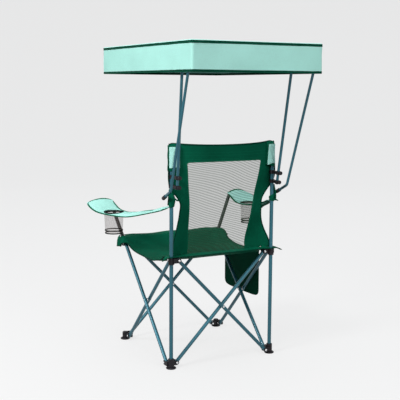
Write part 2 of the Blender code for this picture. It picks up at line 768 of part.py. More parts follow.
def tilt_bolt(side, name):
    """The bolt through arm and rail, with the spacing collar between them."""
    pivot = arm_point(TILT_PIVOT_HEIGHT)
    arm_in = pivot.x - CANOPY_TUBE_RADIUS - GAP
    arm_out = pivot.x + CANOPY_TUBE_RADIUS + GAP
    rail_in = RAIL_X - CANOPY_TUBE_RADIUS - GAP
    rail_out = RAIL_X + CANOPY_TUBE_RADIUS + GAP
    profile = (
        (0.0, rail_out + BOLT_HEAD_LENGTH),
        (BOLT_HEAD_RADIUS, rail_out + BOLT_HEAD_LENGTH),
        (BOLT_HEAD_RADIUS, rail_out),
        (PIN_RADIUS, rail_out),
        (PIN_RADIUS, rail_in),
        (BOLT_COLLAR_RADIUS, rail_in),
        (BOLT_COLLAR_RADIUS, arm_out),
        (PIN_RADIUS, arm_out),
        (PIN_RADIUS, arm_in),
        (BOLT_HEAD_RADIUS, arm_in),
        (BOLT_HEAD_RADIUS, arm_in - BOLT_HEAD_LENGTH),
        (0.0, arm_in - BOLT_HEAD_LENGTH),
    )
    base = Vector((0, pivot.y, pivot.z))
    return finish(turned(profile, base, Vector((side, 0, 0)), PIN_SIDES), name, "metal")


def bend(before, corner, after, radius):
    """Points round a bend of this radius between two straight runs."""
    a = (before - corner).normalized()
    b = (after - corner).normalized()
    half_angle = a.angle(b) / 2
    reach = radius / math.tan(half_angle)
    centre = corner + (a + b).normalized() * (radius / math.sin(half_angle))
    first = corner + a * reach - centre
    last = corner + b * reach - centre
    sweep_angle = first.angle(last)
    axis = first.cross(last).normalized()
    points = []
    for i in range(BEND_STEPS + 1):
        turn = Matrix.Rotation(sweep_angle * i / BEND_STEPS, 3, axis)
        points.append(centre + turn @ first)
    return points


def elbow_arm(side, name):
    """The bent rear arm: grip end, elbow, long leg, top bend, and the spigot in the rail."""
    end = flip(ELBOW_END, side)
    elbow = flip(ELBOW, side)
    top = Vector((side * RAIL_X, ELBOW_TOP_Y, TILT_PIVOT_HEIGHT))
    shoulder = Vector((side * RAIL_X, RAIL_REAR, TILT_PIVOT_HEIGHT))
    forward = Vector((0, -1, 0))
    route = [end]
    route += bend(end, elbow, top, ELBOW_BEND)
    route += bend(elbow, top, shoulder, ELBOW_TOP_BEND)
    route.append(shoulder)
    made = sweep(route, CANOPY_TUBE_RADIUS)
    mouth = end + (end - elbow).normalized() * OVERRUN
    cut(made, sweep([mouth] + route[1:-1], CANOPY_TUBE_RADIUS - TUBE_WALL))
    spigot_radius = CANOPY_TUBE_RADIUS - TUBE_WALL - GAP
    spigot_end = shoulder + forward * SPIGOT_LENGTH
    join(made, rod(shoulder - forward * OVERRUN, spigot_end, spigot_radius, PIN_SIDES))
    return finish(made, name, "tube")


def elbow_cap(side, name):
    """The black sleeve on the bent arm's free end."""
    end = flip(ELBOW_END, side)
    along = (flip(ELBOW, side) - end).normalized()
    outer = CANOPY_TUBE_RADIUS + GAP + CAP_WALL
    closed = end - along * (GAP + CAP_WALL)
    mouth = closed + along * CAP_LENGTH
    made = rod(closed, mouth, outer)
    cut(made, rod(end - along * GAP, mouth + along * OVERRUN, CANOPY_TUBE_RADIUS + RUNNING_GAP))
    return finish(made, name, "plastic")


def clamp(side, level, name):
    """A clamp from a collar on the post to a collar on the arm, with a boss for its knob."""
    height = CLAMP_HEIGHTS[level]
    post = Vector((side * HALF, HALF, height))
    arm = flip(arm_point(height), side)
    along = flip(arm_axis(), side)
    half = CLAMP_LENGTH / 2
    rearward = Vector((0, 1, 0))
    made = rod(post - UP * half, post + UP * half, CLAMP_POST_RADIUS)
    collar = rod(arm - along * half, arm + along * half, CLAMP_ARM_RADIUS)
    web_half = Vector((CLAMP_WEB / 2, 0, half - FORK_WALL / 2))
    web = block(Vector((min(post.x, arm.x), post.y, height)) - web_half,
                Vector((max(post.x, arm.x), arm.y, height)) + web_half)
    boss = rod(arm, arm + rearward * KNOB_BOSS_LENGTH, KNOB_BOSS_RADIUS)
    join(made, web, collar, boss)
    reach = half + OVERRUN
    cut(made, rod(post - UP * reach, post + UP * reach, POST_RADIUS + GAP))
    bore = CANOPY_TUBE_RADIUS + RUNNING_GAP
    cut(made, rod(arm - along * reach, arm + along * reach, bore))
    hole_end = arm + rearward * (KNOB_BOSS_LENGTH + OVERRUN)
    cut(made, rod(arm, hole_end, KNOB_SHANK_RADIUS + RUNNING_GAP, PIN_SIDES))
    return finish(made, name, "plastic")


def knob(side, level, name):
    """The round knob whose screw presses on the arm."""
    arm = flip(arm_point(CLAMP_HEIGHTS[level]), side)
    tip = CANOPY_TUBE_RADIUS / arm_axis().z + RUNNING_GAP * 2
    face = KNOB_BOSS_LENGTH + GAP
    edge = KNOB_LENGTH / 5
    profile = (
        (0.0, face + KNOB_LENGTH),
        (KNOB_RADIUS - edge, face + KNOB_LENGTH),
        (KNOB_RADIUS, face + KNOB_LENGTH - edge),
        (KNOB_RADIUS, face + edge),
        (KNOB_RADIUS - edge, face),
        (KNOB_SHANK_RADIUS, face),
        (KNOB_SHANK_RADIUS, tip),
        (0.0, tip),
    )
    made = turned(profile, arm, Vector((0, 1, 0)), KNOB_STEPS)
    return finish(made, name, "plastic")


# Seat, back and sleeves.
def seat_height(y):
    """The height of the seat's middle surface, sagging between its front and rear."""
    share = (y - SEAT_FRONT) / (SEAT_REAR - SEAT_FRONT)
    hang = max(0.0, 1 - (abs(y) / SEAT_FLAT_FROM) ** 4)
    return mix(SEAT_FRONT_HEIGHT, SEAT_REAR_HEIGHT, share) - SEAT_SAG * hang


def seat():
    """The hung seat with its ears, and holes for the posts."""

    def place(across, along):
        eased = along - 0.06 * math.sin(math.radians(360) * along)
        y = mix(SEAT_FRONT, SEAT_REAR, eased)
        half = SEAT_HALF_WIDTH + SEAT_EAR * abs(y / SEAT_REAR) ** SEAT_EAR_POWER
        return Vector((half * (2 * across - 1), y, seat_height(y)))

    made = sheet(SEAT_COLUMNS, SEAT_ROWS, place, CLOTH)
    for side in (1, -1):
        rear = Vector((side * HALF, HALF, SEAT_REAR_HEIGHT))
        lift = UP * (CLOTH + SEAT_SAG)
        cut(made, rod(rear - lift, rear + lift, POST_RADIUS + SEAT_HOLE_GAP))
        base = Vector((side * HALF, -HALF, TOP_PIVOT_HEIGHT))
        tip = base + arm_direction(side) * (2 * SEAT_SAG)
        cut(made, rod(base, tip, POST_RADIUS + SEAT_HOLE_GAP))
    return finish(made, "seat", "green")


def panel_y(x, z):
    """How far back the panel lies: in front of the posts, and bowed to the rear between them."""
    rise = (z - PANEL_BOTTOM) / (PANEL_TOP - PANEL_BOTTOM)
    middle = PANEL_LOW_Y + PANEL_BOW * lookup(PANEL_SHARES, rise, 3)
    front = HALF - POST_RADIUS - PANEL_FRONT_GAP - CLOTH / 2
    share = min(1.0, abs(x) / (HALF - 1.5 * POST_RADIUS))
    y = mix(middle, front, share ** 4)
    flat = HALF + POST_RADIUS / 2
    beyond = max(0.0, abs(x) - flat) / (PANEL_HALF_WIDTH - flat)
    return y + PANEL_CURL * beyond ** 1.5


WINDOW_ROW = round((WINDOW_TOP - PANEL_BOTTOM) / (PANEL_TOP - PANEL_BOTTOM) * PANEL_ROWS)
WINDOW_SHARE = WINDOW_ROW / PANEL_ROWS


def panel_place(columns, inset):
    """Where the points of the panel's grid, or of its window's grid, lie, down to the seat."""

    def place(across, along):
        if along <= WINDOW_SHARE:
            z = mix(PANEL_BOTTOM, WINDOW_TOP - inset, along / WINDOW_SHARE)
        else:
            z = mix(WINDOW_TOP, PANEL_TOP, (along - WINDOW_SHARE) / (1 - WINDOW_SHARE))
        share = (z - PANEL_BOTTOM) / (PANEL_TOP - PANEL_BOTTOM)
        window = WINDOW_HALF_WIDTH * lookup(PANEL_SHARES, share, 2)
        width = PANEL_HALF_WIDTH * lookup(PANEL_SHARES, share, 1)
        step = round(abs(across - 0.5) * columns * 2) / 2
        core = WINDOW_COLUMNS / 2
        if step <= core:
            x = (window - inset) * step / core
        else:
            x = mix(window, width, (step - core) / STRIP_COLUMNS)
        x = math.copysign(x, across - 0.5)
        point = Vector((x, panel_y(x, z), z))
        rise = max(0.0, along - WINDOW_SHARE) / (1 - WINDOW_SHARE)
        point.z -= PANEL_TOP_DIP * rise * (1 - min(1.0, abs(x) / HALF) ** 2)
        if along == 0:
            point.z = seat_height(point.y) + CLOTH * 1.5 + GAP
        return point

    return place


def back_panel():
    """The fabric back: a top band and two side strips round the mesh window."""
    columns = WINDOW_COLUMNS + 2 * STRIP_COLUMNS

    def keep(across, along):
        beside = abs(across - 0.5) * columns > WINDOW_COLUMNS / 2
        return beside or along > WINDOW_SHARE

    made = sheet(columns, PANEL_ROWS, panel_place(columns, 0.0), CLOTH, keep)
    return finish(made, "back_panel", "green")


def back_mesh():
    """The see-through mesh that fills the panel's window."""
    place = panel_place(WINDOW_COLUMNS, GAP * 1.5)
    made = sheet(WINDOW_COLUMNS, WINDOW_ROW, lambda a, b: place(a, b * WINDOW_SHARE), CLOTH / 2)
    return finish(made, "back_mesh", "mesh")


def sleeve_patch(side, name):
    """The mint patch that closes the sleeve behind a post's top."""

    def place(across, along):
        x = SLEEVE_CENTRE + SLEEVE_HALF_WIDTH * (2 * across - 1)
        y = SLEEVE_EDGE_Y + SLEEVE_BULGE * (1 - (2 * across - 1) ** 2)
        return Vector((side * x, y, mix(SLEEVE_LOW, SLEEVE_HIGH, along)))

    return finish(sheet(6, 4, place, CANOPY_CLOTH), name, "mint")


# Armrests and cup holders.
def armrest(side, name):
    """The padded armrest, wide round the cup and narrow at the rear post."""

    def place(across, along):
        y = ARMREST_FRONT + ARMREST_LENGTH * along
        return Vector((side * armrest_x(y, across), y, armrest_height(y, across)))

    made = sheet(ARMREST_COLUMNS, ARMREST_ROWS, place, PAD)
    low = Vector((side * CUP_X, CUP_Y, CUP_BOTTOM))
    high = low + UP * (2 * (CUP_TOP - CUP_BOTTOM))
    cut(made, rod(low, high, CUP_RIM_RADIUS + RUNNING_GAP, CUP_STEPS))
    return finish(made, name, "mint")


def cup_ring(side, name):
    """The bound rim of a cup holder, set in the armrest."""
    middle = Vector((side * CUP_X, CUP_Y, CUP_TOP - RING_HEIGHT / 2))
    half = UP * (RING_HEIGHT / 2)
    made = rod(middle - half, middle + half, CUP_RIM_RADIUS, CUP_STEPS)
    bore = rod(middle - half * 2, middle + half * 2, CUP_RIM_RADIUS - RING_WALL, CUP_STEPS)
    return finish(cut(made, bore), name, "green")


def cup_holder(side, name):
    """The mesh cup that hangs from its ring."""
    base = Vector((side * CUP_X, CUP_Y, 0))
    top = CUP_TOP - RING_HEIGHT - GAP
    inner = CUP_RIM_RADIUS - CUP_WALL
    profile = (
        (0.0, CUP_BOTTOM + CUP_WALL),
        (CUP_BASE_RADIUS - CUP_WALL, CUP_BOTTOM + CUP_WALL),
        (inner, top),
        (CUP_RIM_RADIUS, top),
        (CUP_BASE_RADIUS, CUP_BOTTOM),
        (0.0, CUP_BOTTOM),
    )
    return finish(turned(profile, base, UP, CUP_STEPS), name, "mesh")


def armrest_strap(side, name):
    """The fabric loop that holds the armrest's rear end on the post."""
    low = Vector((side * HALF, HALF, STRAP_LOW))
    high = Vector((side * HALF, HALF, STRAP_HIGH))
    bore = POST_RADIUS + RUNNING_GAP
    made = rod(low, high, bore + STRAP_WALL)
    return finish(cut(made, rod(low - UP * OVERRUN, high + UP * OVERRUN, bore)), name, "green")


# Side pouch.
def pouch_outline(inset, high):
    """The pouch's shape seen from the side, with round lower corners."""
    front = POUCH_FRONT + inset
    rear = POUCH_REAR - inset
    low = POUCH_LOW + inset
    radius = POUCH_CORNER - inset
    points = [(rear, high), (front, high)]
    for corner_y, first in ((front + radius, 180), (rear - radius, 270)):
        for i in range(POUCH_CORNER_STEPS + 1):
            angle = math.radians(first + 90 * i / POUCH_CORNER_STEPS)
            points.append((
                corner_y + radius * math.cos(angle),
                low + radius + radius * math.sin(angle),
            ))
    return points


def pouch():
    """The flat pouch on the sitter's right, open at the top."""
    frame = Matrix(((0, 1, 0), (0, 0, 1), (1, 0, 0))).transposed().to_4x4()
    middle = -(POUCH_INNER_X + POUCH_DEPTH / 2)
    place = Matrix.Translation((middle, 0, 0)) @ frame
    made = plate(pouch_outline(0.0, POUCH_HIGH), POUCH_DEPTH, place)
    hollow = POUCH_DEPTH - 2 * POUCH_WALL
    cut(made, plate(pouch_outline(POUCH_WALL, POUCH_HIGH + OVERRUN), hollow, place))
    low = (-POUCH_INNER_X - POUCH_WALL / 2, POUCH_HEM_FRONT, POUCH_HIGH - POUCH_HEM_HEIGHT)
    high = (-POUCH_HEM_INNER_X, POUCH_HEM_REAR, POUCH_HIGH - POUCH_WALL / 3)
    join(made, block(low, high))
    return finish(made, "side_pouch", "green")


# Canopy.
def canopy():
    """The roof and its hanging sides as one sheet."""
    bm = bmesh.new()
    bmesh.ops.create_grid(bm, x_segments=CANOPY_COLUMNS, y_segments=CANOPY_LINES, size=1)
    levels = {vertex: 0 for vertex in bm.verts}
    edge = [e for e in bm.edges if e.is_boundary]
    for level in range(1, VALANCE_ROWS + 2):
        grown = bmesh.ops.extrude_edge_only(bm, edges=edge)["geom"]
        edge = [e for e in grown if isinstance(e, bmesh.types.BMEdge) and e.is_boundary]
        for vertex in grown:
            if isinstance(vertex, bmesh.types.BMVert):
                levels[vertex] = level
    half_depth = (CANOPY_REAR - CANOPY_FRONT) / 2
    middle = (CANOPY_REAR + CANOPY_FRONT) / 2
    round_share = CANOPY_EDGE_ROUND / CANOPY_HALF_WIDTH
    round_depth_share = CANOPY_EDGE_ROUND / half_depth
    for vertex, level in levels.items():
        a, b = vertex.co.x, vertex.co.y
        rim_x = abs(a) > 1 - 1e-6
        rim_y = abs(b) > 1 - 1e-6
        x, y = a * CANOPY_HALF_WIDTH, middle + b * half_depth
        if level == 0:
            z = CANOPY_TOP - CANOPY_SAG * (1 - a * a) * (1 - b ** 4)
            x *= 1 - round_share * rim_x
            y -= b * half_depth * round_depth_share * rim_y
        else:
            drop = (level - 1) / VALANCE_ROWS
            z = mix(CANOPY_TOP - CANOPY_EDGE_ROUND, CANOPY_LOW, drop)
            billow = CANOPY_BILLOW * math.sin(math.radians(180) * drop)
            x += math.copysign(billow, a) * rim_x * (1 - b * b - CANOPY_DRAWN_SHARE)
            y += math.copysign(billow, b) * rim_y * (1 - a * a - CANOPY_DRAWN_SHARE)
        vertex.co = (x, y, z)
    bmesh.ops.recalc_face_normals(bm, faces=bm.faces)
    made = add_mesh("canopy", bm)
    thicken(made, CANOPY_CLOTH, -1.0)
    return finish(made, "canopy_fabric", "mint")


# Bodies and their pieces.
feet = [foot(k) for k in range(4)]
sliders = [slider(0), slider(1)]
hubs = [hub(2, -1), hub(3, 1)]
outer_tubes = [x_tube(k, True) for k in range(4)]
inner_tubes = [x_tube(k, False) for k in range(4)]
rivets = [centre_rivet(k) for k in range(4)]


def pivot_point(k, outboard, top):
    """The pivot of one end of a tube of side k."""
    at_own_corner = outboard == top
    along = PIVOT_INSET if at_own_corner else CORNER_SPACING - PIVOT_INSET
    offset = OUTBOARD_OFFSET if outboard else -INBOARD_OFFSET
    return corner_point(k, along, offset, TOP_PIVOT_HEIGHT if top else FOOT_PIVOT_HEIGHT)


centres = [corner_point(k, HALF, 0.0, CENTRE_HEIGHT) for k in range(4)]
carry(body("back_inner", pivot_point(0, False, False)), inner_tubes[0], rivets[0])
carry(body("back_outer", centres[0]), outer_tubes[0])
carry(body("rear_left_slider", pivot_point(0, True, True)), sliders[0])
carry(body("rear_right_slider", pivot_point(0, False, True)), sliders[1])
carry(body("left_outer", pivot_point(3, True, False)), outer_tubes[3], rivets[3])
carry(body("left_inner", centres[3]), inner_tubes[3])
carry(body("front_left_foot", pivot_point(3, False, False)), feet[3])
carry(body("right_inner", pivot_point(1, False, False)), inner_tubes[1], rivets[1])
carry(body("right_outer", centres[1]), outer_tubes[1])
carry(body("front_right_foot", pivot_point(1, True, False)), feet[2])
carry(body("front_outer", pivot_point(2, True, False)), outer_tubes[2], rivets[2])
carry(body("front_inner", centres[2]), inner_tubes[2])

rear_right = body("rear_right", pivot_point(0, True, False))
carry(rear_right, feet[1])
carried = {1: None, -1: rear_right}
hub_bodies = {
    1: body("front_left_hub", pivot_point(3, True, True)),
    -1: body("front_right_hub", pivot_point(1, False, True)),
}
carry(hub_bodies[1], hubs[1])
carry(hub_bodies[-1], hubs[0])

for side, hand in ((1, "left"), (-1, "right")):
    rear_corner = 0 if side == 1 else 1
    front_corner = 3 if side == 1 else 2
    fixed = [
        corner_post(rear_corner, "rear_post_" + hand),
        armrest(side, "armrest_" + hand),
        cup_ring(side, "cup_ring_" + hand),
        cup_holder(side, "cup_holder_" + hand),
        armrest_strap(side, "armrest_strap_" + hand),
        sleeve_patch(side, "sleeve_patch_" + hand),
    ]
    knobs = []
    for level in CLAMP_HEIGHTS:
        fixed.append(clamp(side, level, level + "_clamp_" + hand))
        made_knob = knob(side, level, level + "_knob_" + hand)
        knob_axis = flip(arm_point(CLAMP_HEIGHTS[level]), side)
        carry(body(level + "_knob_" + hand, knob_axis), made_knob)
    if carried[side]:
        carry(carried[side], *fixed)
    carry(hub_bodies[side], arm_post(front_corner, side, "arm_post_" + hand))
    pivot = flip(arm_point(TILT_PIVOT_HEIGHT), side)
    arm_pieces = (straight_arm(side, "straight_arm_" + hand), tilt_bolt(side, "tilt_bolt_" + hand))
    carry(body("arm_" + hand, flip(STRAIGHT_ARM_LOW, side)), *arm_pieces)
    tilting = body("canopy_" + hand, pivot)
    carry(
        tilting,
        side_rail(side, "canopy_rail_" + hand),
        elbow_arm(side, "elbow_arm_" + hand),
        elbow_cap(side, "elbow_cap_" + hand),
    )
    if side == 1:
        carry(tilting, canopy())

seat()
back_panel()
back_mesh()
carry(rear_right, pouch())

for piece in PARTS.objects:
    if piece.parent is None:
        piece.location.y -= (CANOPY_FRONT + CANOPY_REAR) / 2
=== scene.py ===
import math
from functools import partial

import bmesh
import bpy
from mathutils import Matrix, Vector, noise


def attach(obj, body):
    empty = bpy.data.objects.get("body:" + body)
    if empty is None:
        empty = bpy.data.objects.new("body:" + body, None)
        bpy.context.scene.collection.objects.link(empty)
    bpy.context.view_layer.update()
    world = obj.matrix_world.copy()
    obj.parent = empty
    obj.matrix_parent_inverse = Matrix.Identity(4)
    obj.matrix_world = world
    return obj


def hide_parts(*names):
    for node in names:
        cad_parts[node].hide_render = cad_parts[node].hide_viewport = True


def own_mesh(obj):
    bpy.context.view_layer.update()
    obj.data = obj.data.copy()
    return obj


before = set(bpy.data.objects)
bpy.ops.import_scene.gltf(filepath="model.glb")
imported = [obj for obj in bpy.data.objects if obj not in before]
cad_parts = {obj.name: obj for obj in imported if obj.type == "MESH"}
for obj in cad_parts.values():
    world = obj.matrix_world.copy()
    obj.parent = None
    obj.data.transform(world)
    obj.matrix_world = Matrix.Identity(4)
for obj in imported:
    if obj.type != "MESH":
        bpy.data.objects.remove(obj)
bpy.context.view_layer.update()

SCENE = bpy.context.scene
UP = (0, 0, 1)
# The two sides of the chair, and the bodies that carry their rear posts.
HANDS = ((1, "left"), (-1, "right"))
POST_BODY = {"left": "root", "right": "rear_right"}
# The middle of the four feet lies this far along Y in the model's frame.
SHIFT = -0.08045


def lift(point):
    """A point measured from the middle of the four feet, in the model's frame."""
    return Vector((point[0], point[1] + SHIFT, point[2]))


# Camera, as fitted to the photograph: its place, its yaw, pitch and roll in degrees, its lens in mm.
CAMERA_PLACE = (1.7514, 3.3092, 1.1468)
CAMERA_ANGLES = (28.149, 7.488, 0.353)
CAMERA_LENS = 77.79


def look_from(location, yaw, pitch, roll, lens):
    """A camera at a place, turned from -Y by its yaw, down by its pitch and by its roll."""
    level = Vector((-math.sin(yaw), -math.cos(yaw), 0))
    forward = level * math.cos(pitch) - Vector((0, 0, math.sin(pitch)))
    right = Vector((-math.cos(yaw), math.sin(yaw), 0))
    up = right.cross(forward)
    level_right = right * math.cos(roll) + up * math.sin(roll)
    level_up = up * math.cos(roll) - right * math.sin(roll)
    camera = bpy.data.cameras.new("camera")
    camera.lens = lens
    camera.sensor_width = 36
    camera.clip_end = 100
    made = bpy.data.objects.new("camera", camera)
    turn = Matrix((level_right, level_up, -forward)).transposed().to_4x4()
    made.matrix_world = Matrix.Translation(location) @ turn
    SCENE.collection.objects.link(made)
    SCENE.camera = made


look_from(lift(CAMERA_PLACE), *map(math.radians, CAMERA_ANGLES), CAMERA_LENS)


# Materials.
def add(tree, kind, values=None, **settings):
    """A new node with its settings and the values of its sockets."""
    node = tree.nodes.new(kind)
    for name, value in settings.items():
        setattr(node, name, value)
    for name, value in (values or {}).items():
        if isinstance(value, bpy.types.NodeSocket):
            tree.links.new(value, node.inputs[name])
        else:
            node.inputs[name].default_value = value
    return node


def ramp(tree, factor, stops):
    """A colour ramp over a factor."""
    node = add(tree, "ShaderNodeValToRGB", {"Fac": factor})
    elements = node.color_ramp.elements
    while len(elements) < len(stops):
        elements.new(0.5)
    for element, (place, colour) in zip(elements, stops):
        element.position = place
        element.color = (*colour, 1)
    return node.outputs["Color"]


def maths(tree, operation, *values):
    """One arithmetic node over sockets and numbers."""
    return add(tree, "ShaderNodeMath", dict(enumerate(values)), operation=operation).outputs[0]


def blend(tree, mode, share, below, above):
    """One colour laid over another."""
    colours = {0: share, 6: below, 7: above}
    return add(tree, "ShaderNodeMix", colours, data_type="RGBA", blend_type=mode).outputs[2]


def cloud(tree, place, scale, detail):
    """Soft noise over a place."""
    values = {"Vector": place, "Scale": scale, "Detail": detail}
    return add(tree, "ShaderNodeTexNoise", values).outputs["Fac"]


def stretch(tree, value, span, to):
    """A value moved from one span to another."""
    values = {"Value": value, "From Min": span[0], "From Max": span[1], "To Min": to[0], "To Max": to[1]}
    return add(tree, "ShaderNodeMapRange", values).outputs[0]


def relief(tree, shader, height, strength, depth):
    """Raise a material's surface by a height."""
    values = {"Height": height, "Strength": strength, "Distance": depth}
    tree.links.new(add(tree, "ShaderNodeBump", values).outputs[0], shader.inputs["Normal"])


def shade(name, rough, metal=0.0, coat=0.0, gloss=0.5):
    """A principled material, its tree and its shader."""
    material = bpy.data.materials.new(name)
    material.use_nodes = True
    shader = material.node_tree.nodes["Principled BSDF"]
    shader.inputs["Roughness"].default_value = rough
    shader.inputs["Metallic"].default_value = metal
    shader.inputs["Coat Weight"].default_value = coat
    shader.inputs["Specular IOR Level"].default_value = gloss
    return material, material.node_tree, shader


def tone(colour, share):
    """A colour made lighter or darker."""
    return tuple(min(1.0, c * share) for c in colour)


# How many patches of colour drift a metre of a hard surface has, and how deep its grain is.
HARD_PATCHES, HARD_DEPTH = 9.0, 0.0003


def hard(name, colour, rough, metal=0.0, coat=0.0, grain=900.0, bump=0.1, spread=0.16, gloss=0.5):
    """Painted metal or moulded plastic: slow colour drift, fine grain and rubbed patches."""
    material, tree, shader = shade(name, rough, metal, coat, gloss)
    place = add(tree, "ShaderNodeTexCoord").outputs["Object"]
    slow = cloud(tree, place, HARD_PATCHES, 4.0)
    stops = ((0.3, tone(colour, 1 - spread)), (0.55, colour), (0.75, tone(colour, 1 + spread)))
    tree.links.new(ramp(tree, slow, stops), shader.inputs["Base Color"])
    worn = stretch(tree, slow, (0.3, 0.7), (rough * 0.8, min(1.0, rough * 1.25)))
    tree.links.new(worn, shader.inputs["Roughness"])
    relief(tree, shader, cloud(tree, place, grain, 2.0), bump, HARD_DEPTH)
    return material


WHITE = (1.0, 1.0, 1.0)
WOVEN_GLOSS, WOVEN_BUMP, WOVEN_DEPTH = 0.02, 0.35, 0.0004
# How many patches of colour drift and how many slubs, along and across, a metre has.
WOVEN_PATCHES, SLUBS = 7.0, (60.0, 900.0, 1.0)
# How dark the gaps of the weave are.
WEAVE_GAP = (0.82, 0.82, 0.82)
# Half the width of a line of stitches, how many make a metre, and the share that is thread.
STITCH_HALF, STITCHES, STITCH_SHARE = 0.0007, 220.0, 0.68
# A net's rows: their pitch, how they slant and how far they waver.
ROW_PITCH, ROW_SLANT, ROW_WAVER = 0.0098, -0.30, 0.035


def sew(tree, split, base, height, stitches, thread):
    """Lay lines of stitches over a cloth's colour and height, each at its own y of the map."""
    for middle in stitches:
        across = maths(tree, "SUBTRACT", split.outputs["Y"], middle)
        line = maths(tree, "LESS_THAN", maths(tree, "ABSOLUTE", across), STITCH_HALF)
        beat = maths(tree, "FRACT", maths(tree, "MULTIPLY", split.outputs["X"], STITCHES))
        mask = maths(tree, "MULTIPLY", line, maths(tree, "LESS_THAN", beat, STITCH_SHARE))
        base = blend(tree, "MIX", mask, base, (*thread, 1))
        height = maths(tree, "MULTIPLY_ADD", mask, 1.5, height)
    return base, height


def open_net(tree, flat, split, low, high, hole, banding):
    """How much a net covers: holes on two diagonals and wavering rows."""
    diagonal = []
    for sign in (1.0, -1.0):
        turned = maths(tree, "MULTIPLY_ADD", split.outputs["Y"], sign, split.outputs["X"])
        diagonal.append(maths(tree, "SINE", maths(tree, "MULTIPLY", turned, math.tau / hole)))
    holes = maths(tree, "MULTIPLY", *diagonal)
    cover = stretch(tree, holes, (-0.6, 0.6), (low, high))
    slant = maths(tree, "MULTIPLY_ADD", split.outputs["X"], ROW_SLANT, split.outputs["Y"])
    wavy = maths(tree, "MULTIPLY_ADD", cloud(tree, flat, 5.0, 0.0), ROW_WAVER, slant)
    rows = maths(tree, "SINE", maths(tree, "MULTIPLY", wavy, math.tau / ROW_PITCH))
    return maths(tree, "MULTIPLY_ADD", rows, banding, cover)


def woven(name, colour, rough, pitch=0.0011, spread=0.1, stitches=(), thread=WHITE, net=None,
          slub=0.12, banding=0.13):
    """Woven cloth: warp and weft at their pitch, slubs, soft colour drift and lines of stitches.

    A net is given by its least and most cover and the size of its holes."""
    material, tree, shader = shade(name, rough, gloss=WOVEN_GLOSS)
    place = add(tree, "ShaderNodeTexCoord").outputs["Object"]
    flat = add(tree, "ShaderNodeUVMap", uv_map="cloth").outputs[0]
    split = add(tree, "ShaderNodeSeparateXYZ", {0: flat})
    waves = []
    for axis in "XY":
        turned = maths(tree, "MULTIPLY", split.outputs[axis], math.tau / pitch)
        waves.append(maths(tree, "SINE", turned))
    weave = maths(tree, "MULTIPLY_ADD", maths(tree, "MULTIPLY", *waves), 0.5, 0.5)
    drawn = add(tree, "ShaderNodeMapping", {"Vector": flat, "Scale": SLUBS}).outputs[0]
    slubs = cloud(tree, drawn, 1.0, 3.0)
    stops = ((0.3, tone(colour, 1 - spread)), (0.7, tone(colour, 1 + spread)))
    base = ramp(tree, cloud(tree, place, WOVEN_PATCHES, 5.0), stops)
    shading = ramp(tree, weave, ((0.0, WEAVE_GAP), (1.0, WHITE)))
    streak = ramp(tree, slubs, ((0.3, (1 - slub,) * 3), (0.7, WHITE)))
    for layer in (shading, streak):
        base = blend(tree, "MULTIPLY", 1.0, base, layer)
    height = maths(tree, "MULTIPLY_ADD", slubs, 0.4, weave)
    base, height = sew(tree, split, base, height, stitches, thread)
    tree.links.new(base, shader.inputs["Base Color"])
    relief(tree, shader, height, WOVEN_BUMP, WOVEN_DEPTH)
    if net:
        tree.links.new(open_net(tree, flat, split, *net, banding), shader.inputs["Alpha"])
        material.surface_render_method = "BLENDED"
    return material


TEAL = (0.018, 0.120, 0.162)
GREEN = (0.0022, 0.110, 0.058)
MINT = (0.46, 0.87, 0.78)
PINE = (0.002, 0.050, 0.028)
PALE = (0.006, 0.135, 0.072)
LOOKS = {
    "tube": hard("teal_powder_coat", TEAL, 0.36, 0.35, 0.14, bump=0.0),
    "black_tube": hard("black_powder_coat", (0.012, 0.014, 0.015), 0.36, 0.2, 0.2, bump=0.06),
    "plastic": hard("moulded_black_plastic", (0.013, 0.011, 0.014), 0.46, grain=1400.0, bump=0.22,
                    gloss=0.22),
    "zinc": hard("zinc_plate", (0.62, 0.63, 0.64), 0.28, 1.0, bump=0.08, spread=0.08),
    "green": woven("green_polyester", GREEN, 0.62, spread=0.16),
    "mint": woven("mint_polyester", MINT, 0.66, spread=0.04, slub=0.05),
    "binding": woven("pine_binding_tape", PINE, 0.6, 0.0009, stitches=(0.0042,), thread=PALE),
    "light_binding": woven("leaf_binding_tape", PALE, 0.6, 0.0009, stitches=(0.003,),
                           thread=tone(PALE, 2.0)),
    "net": woven("green_net", (0.060, 0.105, 0.062), 0.75, 0.0012, net=(0.34, 0.60, 0.0032)),
    "cup_net": woven("rose_grey_net", (0.30, 0.235, 0.225), 0.75, 0.0012, net=(0.14, 0.36, 0.0030),
                     banding=0.03),
    "trim": woven("black_trim_tape", (0.016, 0.020, 0.018), 0.6, 0.0009),
}


# Geometry helpers.
def mix(a, b, share):
    """The value this share of the way from a to b."""
    return a + (b - a) * share


def ease(x):
    """A smooth step from 0 to 1."""
    x = min(1.0, max(0.0, x))
    return x * x * (3 - 2 * x)


def crumple(x, y, scale, seed=0.0):
    """Signed soft noise, for hand-made creases."""
    return noise.noise(Vector((x * scale, y * scale, seed)))


def add_object(name, bm):
    """A scene object from a bmesh, which is used up."""
    mesh = bpy.data.meshes.new(name)
    bm.to_mesh(mesh)
    bm.free()
    made = bpy.data.objects.new(name, mesh)
    SCENE.collection.objects.link(made)
    return made


def add_piece(name, bm, look):
    """A smooth piece with a look; its bmesh layer named cloth holds its map."""
    bmesh.ops.recalc_face_normals(bm, faces=bm.faces)
    made = add_object(name, bm)
    made.data.shade_smooth()
    made.data.materials.append(LOOKS[look])
    return made


